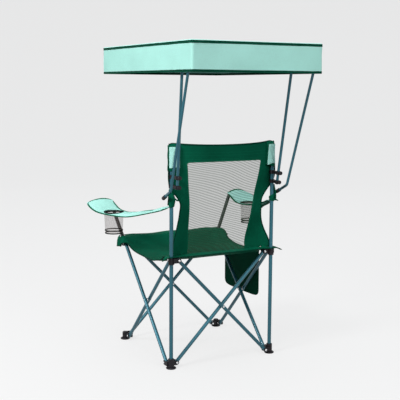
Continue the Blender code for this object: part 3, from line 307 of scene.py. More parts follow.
def cloth_grid(name, place, columns, rows, look, size, keep=None):
    """A sheet whose points come from a function of two shares; its map is in metres."""
    bm = bmesh.new()
    layer = bm.loops.layers.uv.new("cloth")
    points = {}
    for j in range(rows + 1):
        for i in range(columns + 1):
            points[i, j] = bm.verts.new(lift(place(i / columns, j / rows)))
    for j in range(rows):
        for i in range(columns):
            if keep and not keep((i + 0.5) / columns, (j + 0.5) / rows):
                continue
            corners = ((i, j), (i + 1, j), (i + 1, j + 1), (i, j + 1))
            face = bm.faces.new([points[c] for c in corners])
            for loop, (a, b) in zip(face.loops, corners):
                loop[layer].uv = (a / columns * size[0], b / rows * size[1])
    loose = [v for v in bm.verts if not v.link_faces]
    bmesh.ops.delete(bm, geom=loose, context="VERTS")
    return add_piece(name, bm, look)


def skin(name, loops, look, closed=False, caps=True):
    """A surface through cross sections; its map runs along the loops and round the section."""
    bm = bmesh.new()
    layer = bm.loops.layers.uv.new("cloth")
    rows = [[bm.verts.new(lift(p)) for p in loop] for loop in loops]
    along = [0.0]
    for first, second in zip(loops, loops[1:] + loops[:1]):
        along.append(along[-1] + (Vector(second[0]) - Vector(first[0])).length)
    count = len(loops[0])
    around = [0.0]
    for i in range(count):
        around.append(around[-1] + (Vector(loops[0][(i + 1) % count]) - Vector(loops[0][i])).length)
    for j in range(len(rows) if closed else len(rows) - 1):
        following = rows[(j + 1) % len(rows)]
        for i in range(count):
            k = (i + 1) % count
            face = bm.faces.new((rows[j][i], rows[j][k], following[k], following[i]))
            spots = ((along[j], around[i]), (along[j], around[i + 1]),
                     (along[j + 1], around[i + 1]), (along[j + 1], around[i]))
            for loop, spot in zip(face.loops, spots):
                loop[layer].uv = spot
    if caps and not closed:
        bm.faces.new(rows[0])
        bm.faces.new(rows[-1])
    return add_piece(name, bm, look)


def soften(piece, thickness=0.0, level=1, offset=0.0):
    """Give a sheet its thickness and smooth its form."""
    if thickness:
        solid = piece.modifiers.new("thickness", "SOLIDIFY")
        solid.thickness = thickness
        solid.offset = offset
    if level:
        smooth = piece.modifiers.new("smooth", "SUBSURF")
        smooth.levels = level
        smooth.render_levels = level
    return piece


def settle(piece):
    """Turn a piece's modifiers into its mesh."""
    bpy.context.view_layer.update()
    mesh = bpy.data.meshes.new_from_object(piece.evaluated_get(bpy.context.evaluated_depsgraph_get()))
    piece.modifiers.clear()
    piece.data = mesh


def crisp(piece):
    """Shade a piece smoothly, with sharp edges where its cloth ends."""
    piece.data.shade_smooth()
    piece.data.set_sharp_from_angle(angle=math.radians(50))


def punch(piece, start, end, radius, steps=24):
    """Cut a round hole through a sheet."""
    start, end = lift(start), lift(end)
    bm = bmesh.new()
    bmesh.ops.create_cone(bm, cap_ends=True, segments=steps, radius1=radius, radius2=radius,
                          depth=(end - start).length)
    tool = add_object("tool", bm)
    turn = (end - start).to_track_quat("Z", "Y").to_matrix().to_4x4()
    tool.matrix_world = Matrix.Translation((start + end) / 2) @ turn
    boolean = piece.modifiers.new("hole", "BOOLEAN")
    boolean.operation = "DIFFERENCE"
    boolean.solver = "EXACT"
    boolean.object = tool
    settle(piece)
    bpy.data.objects.remove(tool, do_unlink=True)


def tape(name, path, width, thickness, look, closed=False):
    """A folded binding tape: path gives a point, the way across the tape and the way out of it."""
    loops = []
    for point, across, out in path:
        a = Vector(across).normalized() * (width / 2)
        n = Vector(out).normalized() * (thickness / 2)
        loops.append([point - a - n * 0.6, point - a + n * 0.6, point - a * 0.8 + n, point + a * 0.8 + n,
                      point + a + n * 0.6, point + a - n * 0.6, point + a * 0.8 - n, point - a * 0.8 - n])
    return skin(name, loops, look, closed)


def wear(piece, body, slot, *nodes):
    """Let a piece ride on a body and stand for CAD nodes."""
    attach(piece, body)
    if nodes:
        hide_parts(*nodes)
    return piece


# Canopy.
# Half the roof's width, its ends along y, its top, its hem and the radius of its corners.
ROOF_X, ROOF_FRONT, ROOF_REAR, ROOF_TOP, ROOF_LOW = 0.2914, -0.3468, 0.5077, 1.3170, 1.1990
ROOF_CORNER, ROOF_CLOTH = 0.010, 0.0015
MIDDLE_Y = (ROOF_FRONT + ROOF_REAR) / 2
HALF_Y = (ROOF_REAR - ROOF_FRONT) / 2
# Rows of points down a hanging side and from the roof's edge to its spine.
SIDE_STEPS, ROOF_STEPS = 8, 12


def rim(steps_x=26, steps_y=36, steps_corner=4):
    """Points and outward ways round the roof's edge."""
    made = []
    x, front, rear = ROOF_X - ROOF_CORNER, ROOF_FRONT + ROOF_CORNER, ROOF_REAR - ROOF_CORNER
    inner = ((x, rear), (-x, rear), (-x, front), (x, front))
    for k, centre in enumerate(inner):
        for i in range(steps_corner + 1):
            angle = math.radians(90) * (k + i / steps_corner)
            way = Vector((math.cos(angle), math.sin(angle), 0))
            made.append((Vector((*centre, 0)) + way * ROOF_CORNER, way))
        last, way = made[-1]
        following = Vector((*inner[(k + 1) % 4], 0)) + way * ROOF_CORNER
        steps = steps_x if k % 2 == 0 else steps_y
        for i in range(1, steps):
            made.append((last.lerp(following, i / steps), way))
    return made


RIM = rim()


def valance(point, way, drop):
    """A point of the hanging side: drop goes from 0 at the roof's edge to 1 at the hem."""
    bow = math.sin(math.pi * drop)
    share = point.x / ROOF_X if abs(way.y) > 0.7 else (point.y - MIDDLE_Y) / HALF_Y
    out = 0.0022 * bow * (1 - share * share) - 0.0010 * bow
    along = point.x + point.y * 1.7
    out += 0.0016 * bow * math.sin(along * 21 + drop * 1.3) * (0.4 + 0.6 * abs(share))
    out += 0.0014 * bow * crumple(along, point.x - point.y + drop * 0.2, 11, 3.0)
    z = mix(ROOF_TOP - 0.0035, ROOF_LOW, drop)
    z += 0.0012 * math.sin(along * 9.0) * drop * (1 - drop) * 4
    return Vector((point.x + way.x * out, point.y + way.y * out, z))


def roof_height(x, y):
    """The roof's height: it hangs between the rails, with drawn folds by the frame's ends."""
    a, b = x / ROOF_X, (y - MIDDLE_Y) / HALF_Y
    sag = 0.0065 * (1 - a * a) ** 1.7 * (1 - 0.75 * b ** 4)
    folds = 0.0011 * math.sin(y * 46 + 2.5 * a) * (1 - b * b) * (0.25 + abs(a)) * (1 - a * a)
    creases = 0.0016 * crumple(x, y, 9, 1.0) * (1 - a ** 4) * (1 - b ** 4)
    return ROOF_TOP - 0.0004 - sag - abs(folds) + min(0.0, creases)


loops = []
for row in range(SIDE_STEPS + 1):
    loops.append([valance(point, way, 1 - row / SIDE_STEPS) for point, way in RIM])
loops.append([point - way * 0.0011 + Vector((0, 0, ROOF_TOP - 0.0012)) for point, way in RIM])
for row in range(ROOF_STEPS + 1):
    share = mix(0.006, 1.0, row / ROOF_STEPS)
    ring = []
    for point, way in RIM:
        reach = min(HALF_Y - ROOF_X, max(ROOF_X - HALF_Y, point.y - MIDDLE_Y))
        spine = Vector((0, reach + MIDDLE_Y, 0))
        spot = (point - way * 0.0035).lerp(spine, share)
        spot.z = roof_height(spot.x, spot.y)
        ring.append(spot)
    loops.append(ring)
canopy = skin("canopy_cloth", loops, "mint", caps=False)
welded = canopy.modifiers.new("weld", "WELD")
welded.merge_threshold = 0.0002
soften(canopy, ROOF_CLOTH, offset=-1.0)
wear(canopy, "canopy_left", "mint_fabric", "canopy_fabric")


def rim_tape(name, z, out, width, thickness):
    """A binding tape round the roof, at a height and this far out of its edge."""
    path = [(Vector((point.x, point.y, z)) + way * out, UP, way) for point, way in RIM]
    return soften(tape(name, path, width, thickness, "binding", True))


canopy_hem = rim_tape("canopy_hem_binding", ROOF_LOW + 0.0048, -0.0007, 0.0098, 0.0032)
canopy_top_tape = rim_tape("canopy_top_binding", ROOF_TOP - 0.0088, 0.0003, 0.0105, 0.0013)
for piece in (canopy_hem, canopy_top_tape):
    wear(piece, "canopy_left", "green_fabric")

# Seat.
# Half the distance between the posts.
POST = 0.2375
# The ends of the seat along y, their heights, half its width and the thickness of its cloth.
SEAT_FRONT, SEAT_REAR, FRONT_HIGH, REAR_HIGH = -0.250, 0.2515, 0.480, 0.464
SEAT_HALF, SEAT_CLOTH = 0.2523, 0.0020
# The size in metres of each half's map, and its columns of cells.
SEAT_MAP, SEAT_COLUMNS = (0.55, 0.28), 56
# How deep the seat sags, and how far in front of and behind its middle.
SEAT_SAG, SAG_HALF = 0.046, 0.206
# The x from which the front ears droop, and how far out they bulge.
EAR_X, EAR_BULGE = 0.2585, 0.0105
# The holes for a rear post and for a front hub's socket, and the socket's lean and lower end.
POST_HOLE, SOCKET_HOLE = 0.0093, 0.0128
SOCKET_LEAN, SOCKET_LOW = math.radians(19.6), 0.449464


def seat_height(y):
    """The height of the hung seat along its depth."""
    hang = max(0.0, 1 - (abs(y) / SAG_HALF) ** 4)
    return mix(FRONT_HIGH, REAR_HIGH, (y - SEAT_FRONT) / (SEAT_REAR - SEAT_FRONT)) - SEAT_SAG * hang


def seat_surface(x, y):
    """The seat's height: its sag, folds that pull from its corners and a tuck by each rear corner."""
    z = seat_height(y)
    centre = max(0.0, 1 - abs(y / 0.235) ** 2) * max(0.0, 1 - abs(x / SEAT_HALF) ** 2)
    for cx in (-POST, POST):
        for cy in (-POST, POST):
            dx, dy = x - cx, y - cy
            reach = math.hypot(dx, dy)
            swing = math.sin(9 * math.atan2(dy, dx) + cx * 7 + cy * 3)
            z += 0.0042 * swing * math.exp(-reach / 0.10) * ease((reach - 0.02) / 0.05)
    if abs(x) < 0.25:
        ripple = math.sin(x * 34 + 1.2) * (1 - (x / 0.25) ** 2)
        z += 0.0022 * ripple * math.exp(-abs(y - SEAT_FRONT) / 0.05)
    tuck = ease((y - 0.10) / 0.06) * ease((0.236 - y) / 0.03)
    z += 0.0115 * tuck * math.exp(-(((abs(x) - 0.222 - (0.20 - y) * 0.35) / 0.0095) ** 2))
    return z + 0.004 * crumple(x, y, 8, 5.0) * centre - 0.003 * centre


def seat_place(across, along):
    """A point of the seat, with its drooping front ears."""
    y = mix(SEAT_FRONT, SEAT_REAR, along - 0.06 * math.sin(2 * math.pi * along))
    if y < 0:
        half = SEAT_HALF + 0.046 * ease((-y - 0.168) / 0.045)
    else:
        half = SEAT_HALF + 0.034 * (y / SEAT_REAR) ** 10
    x = half * (2 * across - 1)
    z = seat_surface(x, y)
    if y < 0:
        spare = max(0.0, abs(x) - EAR_X)
        kept = EAR_BULGE * (1 - math.exp(-spare / EAR_BULGE))
        kept += 0.003 * math.sin(y * 90) * ease(spare / 0.02)
        x = math.copysign(min(abs(x), EAR_X + kept), x)
        z -= 1.28 * max(0.0, spare - 0.4 * kept) + 0.004 * math.sin(y * 70) * ease(spare / 0.02)
    else:
        z -= 0.010 * ease((abs(x) - 0.258) / 0.028)
    return Vector((x, y, z))


def front_place(across, along):
    """A point of the seat's front half, which tucks a little under the rear half."""
    spot = seat_place(across, along * 0.518)
    if along > 0.99:
        spot.z -= 0.0012
    return spot


def rear_place(across, along):
    """A point of the seat's rear half."""
    return seat_place(across, 0.5 + along * 0.5)


seat_front = cloth_grid("seat_cloth_front", front_place, SEAT_COLUMNS, 29, "green", SEAT_MAP)
seat = cloth_grid("seat_cloth_rear", rear_place, SEAT_COLUMNS, 28, "green", SEAT_MAP)
for piece in (seat_front, seat):
    soften(piece, SEAT_CLOTH, level=0)
for side in (1, -1):
    punch(seat, (side * POST, POST, 0.41), (side * POST, POST, 0.52), POST_HOLE)
    lean = Vector((side * math.sin(SOCKET_LEAN), 0, math.cos(SOCKET_LEAN)))
    foot = Vector((side * POST, -POST, SOCKET_LOW))
    punch(seat_front, foot, foot + lean * 0.09, SOCKET_HOLE)
crisp(seat)
crisp(seat_front)
wear(seat, "rear_left_slider", "green_fabric", "seat")
wear(seat_front, "front_left_hub", "green_fabric")


def edge_path(place, axis, at):
    """A level tape's path along one edge of the seat."""
    path = []
    steps, way = (60, (0, 1, 0)) if axis == "across" else (30, (1, 0, 0))
    for i in range(steps + 1):
        spot = place(i / steps, at) if axis == "across" else place(at, i / steps)
        path.append((spot, way, UP))
    return path


seat_hems = {"rear": [], "front": []}
for name, axis, at in (
    ("front_hem", "across", 0.008), ("front_left_hem", "along", 0.996), ("front_right_hem", "along", 0.004),
    ("rear_hem", "across", 0.992), ("rear_left_hem", "along", 0.996), ("rear_right_hem", "along", 0.004),
):
    end = name.split("_")[0]
    place, body = (front_place, "front_left_hub") if end == "front" else (rear_place, "rear_left_slider")
    look = "light_binding" if name == "front_hem" else "binding"
    made = soften(tape("seat_" + name, edge_path(place, axis, at), 0.0080, 0.0034, look))
    seat_hems[end].append(wear(made, body, "green_fabric"))

# Back panel, its net and the sleeves over the post tops.
PANEL_LOW, WINDOW_TOP, PANEL_TOP, PANEL_CLOTH = 0.470, 0.844, 0.924, 0.0020
# Where the panel meets the posts: this far out and this far back.
POST_SIDE, POST_FACE = 0.2255, 0.2266
# Rows of height, half width of the panel, half width of its window and y of its middle.
WIDTH, WINDOW, MIDDLE = 1, 2, 3
PANEL_ROWS = (
    (0.470, 0.2450, 0.1360, 0.1760), (0.500, 0.2330, 0.1375, 0.1800), (0.540, 0.2165, 0.1410, 0.1915),
    (0.580, 0.2030, 0.1440, 0.2030), (0.610, 0.1965, 0.1465, 0.2110), (0.640, 0.1945, 0.1490, 0.2180),
    (0.679, 0.1955, 0.1530, 0.2280), (0.716, 0.2190, 0.1575, 0.2360), (0.742, 0.2420, 0.1610, 0.2420),
    (0.775, 0.2520, 0.1650, 0.2490), (0.815, 0.2525, 0.1700, 0.2570), (0.844, 0.2515, 0.1735, 0.2620),
    (0.924, 0.2480, 0.1800, 0.2660),
)


def flow(rows, key, column):
    """The value in a column of a table, on a smooth curve through its rows."""
    if key <= rows[0][0]:
        return rows[0][column]
    if key >= rows[-1][0]:
        return rows[-1][column]
    i = max(k for k in range(len(rows) - 1) if rows[k][0] <= key)
    slopes = []
    for k in (i, i + 1):
        a, b = rows[max(0, k - 1)], rows[min(len(rows) - 1, k + 1)]
        slopes.append((b[column] - a[column]) / (b[0] - a[0]))
    span = rows[i + 1][0] - rows[i][0]
    t = (key - rows[i][0]) / span
    value = (2 * t ** 3 - 3 * t * t + 1) * rows[i][column] + (3 * t * t - 2 * t ** 3) * rows[i + 1][column]
    return value + span * ((t ** 3 - 2 * t * t + t) * slopes[0] + (t ** 3 - t * t) * slopes[1])


def panel_y(x, z):
    """How far back the panel lies, with its slack folds."""
    share = min(1.0, abs(x) / POST_SIDE)
    y = mix(flow(PANEL_ROWS, z, MIDDLE), POST_FACE, share ** 4)
    y += 0.0110 * ease((abs(x) - 0.2385) / 0.0145)
    slack = ease((abs(x) - 0.10) / 0.05) * ease((POST_SIDE - abs(x)) / 0.03) * ease((z - 0.47) / 0.05)
    y += 0.0026 * slack * math.sin((z - 0.6 * abs(x)) * 34 + (1.0 if x > 0 else 2.6)) * ease((0.86 - z) / 0.1)
    y += 0.0030 * crumple(x, z, 6, 9.0) * ease((POST_SIDE - abs(x)) / 0.05) * ease((z - 0.48) / 0.05)
    return y


def panel_spot(x, z):
    """A point of the panel."""
    return Vector((x, panel_y(x, z), z))


def panel_bottom(x):
    """The height at which the panel meets the seat."""
    return seat_surface(x, panel_y(x, PANEL_LOW)) + 0.0012


def panel_top(x):
    """The height of the panel's dipping top edge."""
    dip = 0.010 * (1 - min(1.0, abs(x) / POST) ** 2)
    return PANEL_TOP - dip - 0.007 * ease((abs(x) - 0.231) / 0.018) ** 2


PANEL_STEPS, WINDOW_STEPS, STRIP_STEPS, WINDOW_ROWS = 48, 24, 12, 40
WINDOW_SHARE = WINDOW_ROWS / PANEL_STEPS
PANEL_COLUMNS = WINDOW_STEPS + 2 * STRIP_STEPS


def panel_place(across, along):
    """A point of the panel by shares: its strips beside the window and its band above it."""
    step = abs(across - 0.5) * PANEL_COLUMNS
    if along <= WINDOW_SHARE:
        z = mix(PANEL_LOW, WINDOW_TOP, along / WINDOW_SHARE)
    else:
        z = mix(WINDOW_TOP, PANEL_TOP, (along - WINDOW_SHARE) / (1 - WINDOW_SHARE))
    window, width = flow(PANEL_ROWS, z, WINDOW), flow(PANEL_ROWS, z, WIDTH)
    if step <= WINDOW_STEPS / 2:
        x = window * step / (WINDOW_STEPS / 2)
    else:
        x = mix(window, width, (step - WINDOW_STEPS / 2) / STRIP_STEPS)
    x = math.copysign(x, across - 0.5)
    spot = panel_spot(x, z)
    rise = max(0.0, along - WINDOW_SHARE) / (1 - WINDOW_SHARE)
    spot.z += (panel_top(x) - PANEL_TOP) * rise
    if along == 0:
        spot.z = panel_bottom(x)
    return spot


def beside_window(across, along):
    """Whether a share of the panel is cloth and not its window."""
    return abs(across - 0.5) * PANEL_COLUMNS > WINDOW_STEPS / 2 or along > WINDOW_SHARE


LOOKS["green_band"] = woven("green_banded_polyester", GREEN, 0.62, spread=0.16, thread=PALE,
                            stitches=(0.424, 0.412, 0.396))
panel = cloth_grid("back_panel_cloth", panel_place, PANEL_COLUMNS, PANEL_STEPS, "green_band", (0.56, 0.46),
                   beside_window)
soften(panel, PANEL_CLOTH)
wear(panel, "root", "green_fabric", "back_panel")


def net_place(across, along):
    """A point of the net, just inside the panel's cloth."""
    z = mix(PANEL_LOW, WINDOW_TOP + 0.004, along)
    x = (flow(PANEL_ROWS, z, WINDOW) + 0.004) * (2 * across - 1)
    spot = panel_spot(x, z)
    spot.y -= 0.0014
    if along == 0:
        spot.z = panel_bottom(x)
    return spot


net = soften(cloth_grid("back_net", net_place, 24, 34, "net", (0.31, 0.37)))
wear(net, "root", "mesh", "back_mesh")


def upright_tape(name, outline, width, thickness, look):
    """A tape along an outline of x and z on the panel."""
    path = []
    for i, (x, z) in enumerate(outline):
        before, after = outline[max(0, i - 1)], outline[min(len(outline) - 1, i + 1)]
        run = Vector((after[0] - before[0], 0, after[1] - before[1])).normalized()
        slope = (panel_y(x + 0.002, z) - panel_y(x - 0.002, z)) / 0.004
        out = Vector((slope, -1, 0)).normalized()
        path.append((panel_spot(x, z), run.cross(out), out))
    return soften(tape(name, path, width, thickness, look))


def side_line(side, column, out, low, high, steps):
    """Points of x and z along one side of the panel or of its window."""
    levels = [mix(low, high, i / steps) for i in range(steps + 1)]
    return [(side * (flow(PANEL_ROWS, z, column) + out), z) for z in levels]


window_line = side_line(-1, WINDOW, 0.002, PANEL_LOW + 0.006, WINDOW_TOP, 36)
window_line += [(mix(-1, 1, i / 24) * 0.1745, WINDOW_TOP + 0.003) for i in range(1, 24)]
window_line += reversed(side_line(1, WINDOW, 0.002, PANEL_LOW + 0.006, WINDOW_TOP, 36))
panel_tapes = [upright_tape("window_binding", window_line, 0.0062, 0.0030, "light_binding")]
for side, hand in HANDS:
    outline = side_line(side, WIDTH, -0.0025, PANEL_LOW + 0.012, PANEL_TOP - 0.001, 44)
    panel_tapes.append(upright_tape("panel_edge_binding_" + hand, outline, 0.0060, 0.0036, "binding"))
top_line = []
for i in range(41):
    x = mix(-0.2465, 0.2465, i / 40)
    top_line.append((x, panel_top(x) - 0.003))
panel_tapes.append(upright_tape("panel_top_binding", top_line, 0.0075, 0.0036, "binding"))
for piece in panel_tapes:
    wear(piece, "root", "green_fabric")

# The x of a mint patch's inner and outer edge, each at its foot and at its top.
PATCH_EDGES = {"left": ((0.2035, 0.1970), (0.2480, 0.2480)), "right": ((0.2065, 0.2110), (0.2500, 0.2530))}
# The x of a sleeve's two edges, and the thickness of its cloth and of the patch's.
SLEEVE_INNER, SLEEVE_OUTER, SLEEVE_CLOTH, PATCH_CLOTH = 0.1990, 0.2505, 0.0012, 0.0013
for side, hand in HANDS:
    def sleeve_place(across, along, side=side):
        """A point of the green sleeve that wraps a post's top from the panel's outer edge."""
        t = 2 * across - 1
        y = mix(0.2500, 0.2272 if t > 0 else 0.2300, abs(t) ** 4.5)
        y += 0.0012 * math.sin(9 * t + 8 * along) * (1 - t * t)
        y -= 0.0120 * ease((along - 0.88) / 0.12) * (1 - t * t)
        x = mix(SLEEVE_INNER, SLEEVE_OUTER, across) + 0.0008 * math.sin(13 * along)
        low = mix(0.822, 0.812, across) + 0.002 * math.sin(5 * across)
        return Vector((side * x, y, mix(low, panel_top(x) - 0.0015, along)))

    def patch_place(across, along, side=side, edges=PATCH_EDGES[hand]):
        """A point of the mint patch on the sleeve."""
        t = 2 * across - 1
        x = mix(mix(*edges[0], along), mix(*edges[1], along), across)
        share = (x - SLEEVE_INNER) / (SLEEVE_OUTER - SLEEVE_INNER)
        under = sleeve_place(min(0.97, max(0.03, share)), mix(0.06, 0.84, along)).y
        y = under + 0.0021 + 0.0009 * math.sin(7.5 * t + 6 * along) * (1 - t * t)
        z = mix(0.8245, 0.909, along) + 0.0030 * math.sin(2.6 * t + 1.2) * (1 - along)
        return Vector((side * x, y, z))

    body = POST_BODY[hand]
    sleeve = cloth_grid("sleeve_back_" + hand, sleeve_place, 16, 24, "green", (0.07, 0.18))
    soften(sleeve, SLEEVE_CLOTH)
    patch = cloth_grid("sleeve_cloth_" + hand, patch_place, 18, 14, "mint", (0.07, 0.096))
    soften(patch, PATCH_CLOTH)
    wear(sleeve, body, "green_fabric")
    wear(patch, body, "mint_fabric", "sleeve_patch_" + hand)
    panel_tapes.append(sleeve)

# Armrests.
ARMREST_FRONT, ARMREST_CLOTH = -0.2450, 0.0030
# Rows of the place along y, the x of the inner and the outer edge, and the height of each.
INNER_X, OUTER_X, INNER_Z, OUTER_Z = 1, 2, 3, 4
ARMREST_ROWS = (
    (ARMREST_FRONT, 0.2965, 0.4050, 0.6450, 0.6410), (-0.2350, 0.2960, 0.4170, 0.6435, 0.6375),
    (-0.1980, 0.2935, 0.4200, 0.6260, 0.6260), (-0.1590, 0.2905, 0.4140, 0.6120, 0.6140),
    (-0.1200, 0.2875, 0.4010, 0.6085, 0.6065), (-0.0810, 0.2845, 0.3850, 0.6090, 0.6035),
    (-0.0420, 0.2810, 0.3640, 0.6145, 0.6030), (0.0000, 0.2750, 0.3390, 0.6200, 0.6040),
    (0.0740, 0.2580, 0.2990, 0.6337, 0.6182), (0.1520, 0.2420, 0.2690, 0.6522, 0.6405),
    (POST_FACE, 0.2290, 0.2462, 0.6690, 0.6660),
)
CUP_X, CUP_Y, CUP_HOLE = 0.3410, -0.1124, 0.0436
CUP_FLOOR, CUP_DEPTH = 0.515, 0.090
# The heights of a cup's net, and its radius at each.
CUP_ROWS = ((0.6050, 0.0418), (0.5900, 0.0411), (0.5720, 0.0402), (0.5540, 0.0394), (0.5380, 0.0385),
            (0.5240, 0.0376), (0.5175, 0.0368), (0.5153, 0.0350), (0.5150, 0.0200), (0.5150, 0.0030))


def armrest_spot(side, across, along):
    """A point of an armrest's middle surface."""
    y = mix(ARMREST_FRONT, POST_FACE, along)
    x = mix(flow(ARMREST_ROWS, y, INNER_X), flow(ARMREST_ROWS, y, OUTER_X), across)
    z = mix(flow(ARMREST_ROWS, y, INNER_Z), flow(ARMREST_ROWS, y, OUTER_Z), across)
    belly = math.sin(math.pi * across)
    away = ease((math.hypot(x - CUP_X, y - CUP_Y) - 0.047) / 0.03)
    z += (0.0030 * belly - 0.0016 * (1 - belly)) * away
    z += 0.0090 * belly * math.exp(-(y - ARMREST_FRONT) / 0.022) * (0.6 if side == 1 else 1.2)
    z += 0.0018 * math.sin(across * 5 + y * 30) * away * ease((y + 0.03) / 0.06) * ease((0.22 - y) / 0.04)
    z += 0.0030 * crumple(x * side, y, 14, 4.0) * away * belly
    return Vector((side * x, y, z))


def rounded(points, passes=3):
    """A path with its corners worn round."""
    points = [Vector(p) for p in points]
    for _ in range(passes):
        points = [points[0]] + [
            (a + b * 2 + c) / 4 for a, b, c in zip(points, points[1:], points[2:])
        ] + [points[-1]]
    return points


def circle(centre, radius, steps, squash=0.0):
    """Points of a slightly uneven level circle."""
    made = []
    for i in range(steps):
        angle = 2 * math.pi * i / steps
        r = radius * (1 + squash * math.sin(2 * angle + 0.6))
        made.append(Vector((centre[0] + r * math.cos(angle), centre[1] + r * math.sin(angle), centre[2])))
    return made


def hoop(centre, radius, steps, squash=0.0):
    """A tape's path round a level circle."""
    return [(point, UP, point - Vector(centre)) for point in circle(centre, radius, steps, squash)]


soft_arms = {}
for side, hand in HANDS:
    body, place = POST_BODY[hand], partial(armrest_spot, side)
    pad = cloth_grid("armrest_cloth_" + hand, place, 26, 92, "mint", (0.12, 0.48))
    soften(pad, ARMREST_CLOTH, level=0)
    punch(pad, (side * CUP_X, CUP_Y, 0.50), (side * CUP_X, CUP_Y, 0.70), CUP_HOLE, 40)
    crisp(pad)
    wear(pad, body, "mint_fabric", "armrest_" + hand)
    edge = [place(0.0, mix(0.985, 0.0, i / 60)) for i in range(61)]
    edge += [place(i / 16, 0.0) for i in range(1, 16)]
    edge += [place(1.0, mix(0.0, 0.985, i / 64)) for i in range(65)]
    edge = rounded(edge)
    path = []
    for i, point in enumerate(edge):
        run = edge[min(len(edge) - 1, i + 1)] - edge[max(0, i - 1)]
        outward = Vector((-run.y, run.x, 0)).normalized() * -side
        path.append((point - outward * 0.0032, outward, UP))
    bound = soften(tape("armrest_binding_" + hand, path, 0.0086, 0.0050, "light_binding"))
    ring_path = hoop((side * CUP_X, CUP_Y, 0.607), 0.0414, 40)
    ring = soften(tape("cup_rim_" + hand, ring_path, 0.0086, 0.0042, "trim", True))
    wear(bound, body, "green_fabric")
    wear(ring, body, "green_fabric", "cup_ring_" + hand)
    rings = []
    for z, r in CUP_ROWS:
        rings.append(circle((side * CUP_X, CUP_Y, z), r, 32, 0.012 * (1 - (z - CUP_FLOOR) / CUP_DEPTH)))
    cup = soften(skin("cup_net_" + hand, rings, "cup_net", caps=False))
    wear(cup, body, "mesh", "cup_holder_" + hand)
    trims = []
    for label, z, r in (("lower", 0.5188, 0.0376), ("upper", 0.5306, 0.0383)):
        band_path = hoop((side * CUP_X, CUP_Y, z), r, 32, 0.012)
        piece = soften(tape(f"cup_{label}_band_{hand}", band_path, 0.0050, 0.0026, "trim", True))
        trims.append(wear(piece, body, "green_fabric"))
    soft_arms[hand] = [pad, bound, ring, cup, *trims]

# Straps that hold the armrests' rear ends on the posts: their radius, cloth and heights.
STRAP_RADIUS, STRAP_CLOTH = 0.0108, 0.0014
STRAP_SPANS = {"left": (0.669, 0.738), "right": (0.668, 0.692)}
for side, hand in HANDS:
    body = POST_BODY[hand]
    low, high = STRAP_SPANS[hand]
    loops = []
    for j in range(13):
        share = j / 12
        z = mix(low, high, share)
        loop = []
        for i in range(24):
            angle = 2 * math.pi * i / 24
            r = STRAP_RADIUS + 0.0011 * math.sin(3 * angle + 5 * share)
            r += 0.0009 * math.sin(7 * angle + 14 * share)
            if side == 1:
                r += 0.0060 * math.exp(-((share - 0.42) / 0.22) ** 2) * max(0.0, math.cos(angle - 2.2))
                r -= 0.0008 * ease((share - 0.6) / 0.4)
            tilt = 0.0050 * math.sin(angle + 0.8) * (1 if share > 0.5 else -0.6)
            loop.append(Vector((side * (POST + r * math.cos(angle)), POST + r * math.sin(angle), z + tilt)))
        loops.append(loop)
    strap = soften(skin("armrest_strap_cloth_" + hand, loops, "green", caps=False), STRAP_CLOTH)
    wear(strap, body, "green_fabric", "armrest_strap_" + hand)

    def tail_place(across, along, side=side):
        """A point of the strap's loose end: tied to the panel on the left, free on the right."""
        wide = across - 0.5
        if side == 1:
            x, y = mix(POST - 0.0110, 0.1965, along), mix(POST + 0.0050, 0.2292, along)
            z = 0.704 - 0.010 * along + 0.0075 * wide - 0.006 * math.sin(math.pi * along)
        else:
            x, y = mix(POST + 0.0085, 0.2705, along), mix(POST + 0.0070, 0.2385, along)
            z = 0.674 - 0.008 * along + 0.0110 * wide * (1 - 0.75 * along)
        return Vector((side * x, y + 0.0012 * math.sin(9 * along + 3 * wide), z))

    def flap_place(across, along, side=side):
        """A point of the fold that rises from the armrest along the post."""
        wide = (2 * across - 1) * (1 - 0.75 * along ** 1.4)
        if side == 1:
            x, y = POST + 0.0094 * wide + 0.002 * along, POST - 0.0140 - 0.0012 * math.cos(wide * 1.2)
            y -= 0.003 * (1 - along)
        else:
            x = POST + 0.0118 + 0.0048 * wide + 0.0020 * math.sin(5 * along)
            y = POST + 0.0030 + 0.0070 * wide
        return Vector((side * x, y, mix(0.672, 0.730 if side == 1 else 0.738, along)))

    tail = cloth_grid("strap_tail_" + hand, tail_place, 5, 12, "green", (0.013, 0.046))
    flap = cloth_grid("strap_flap_" + hand, flap_place, 8, 12, "green", (0.020, 0.060))
    for piece in (tail, flap):
        wear(soften(piece, STRAP_CLOTH), body, "green_fabric")
    soft_arms[hand] += [strap, tail, flap]

# Side pouch.
POUCH_IN, POUCH_OUT, POUCH_HIGH, POUCH_LOW = -0.2586, -0.2716, 0.4292, 0.2150
POUCH_FRONT, POUCH_REAR, POUCH_CORNER, POUCH_CLOTH = -0.199, 0.114, 0.030, 0.0012
POUCH_STEPS, POUCH_ROWS = 36, 22


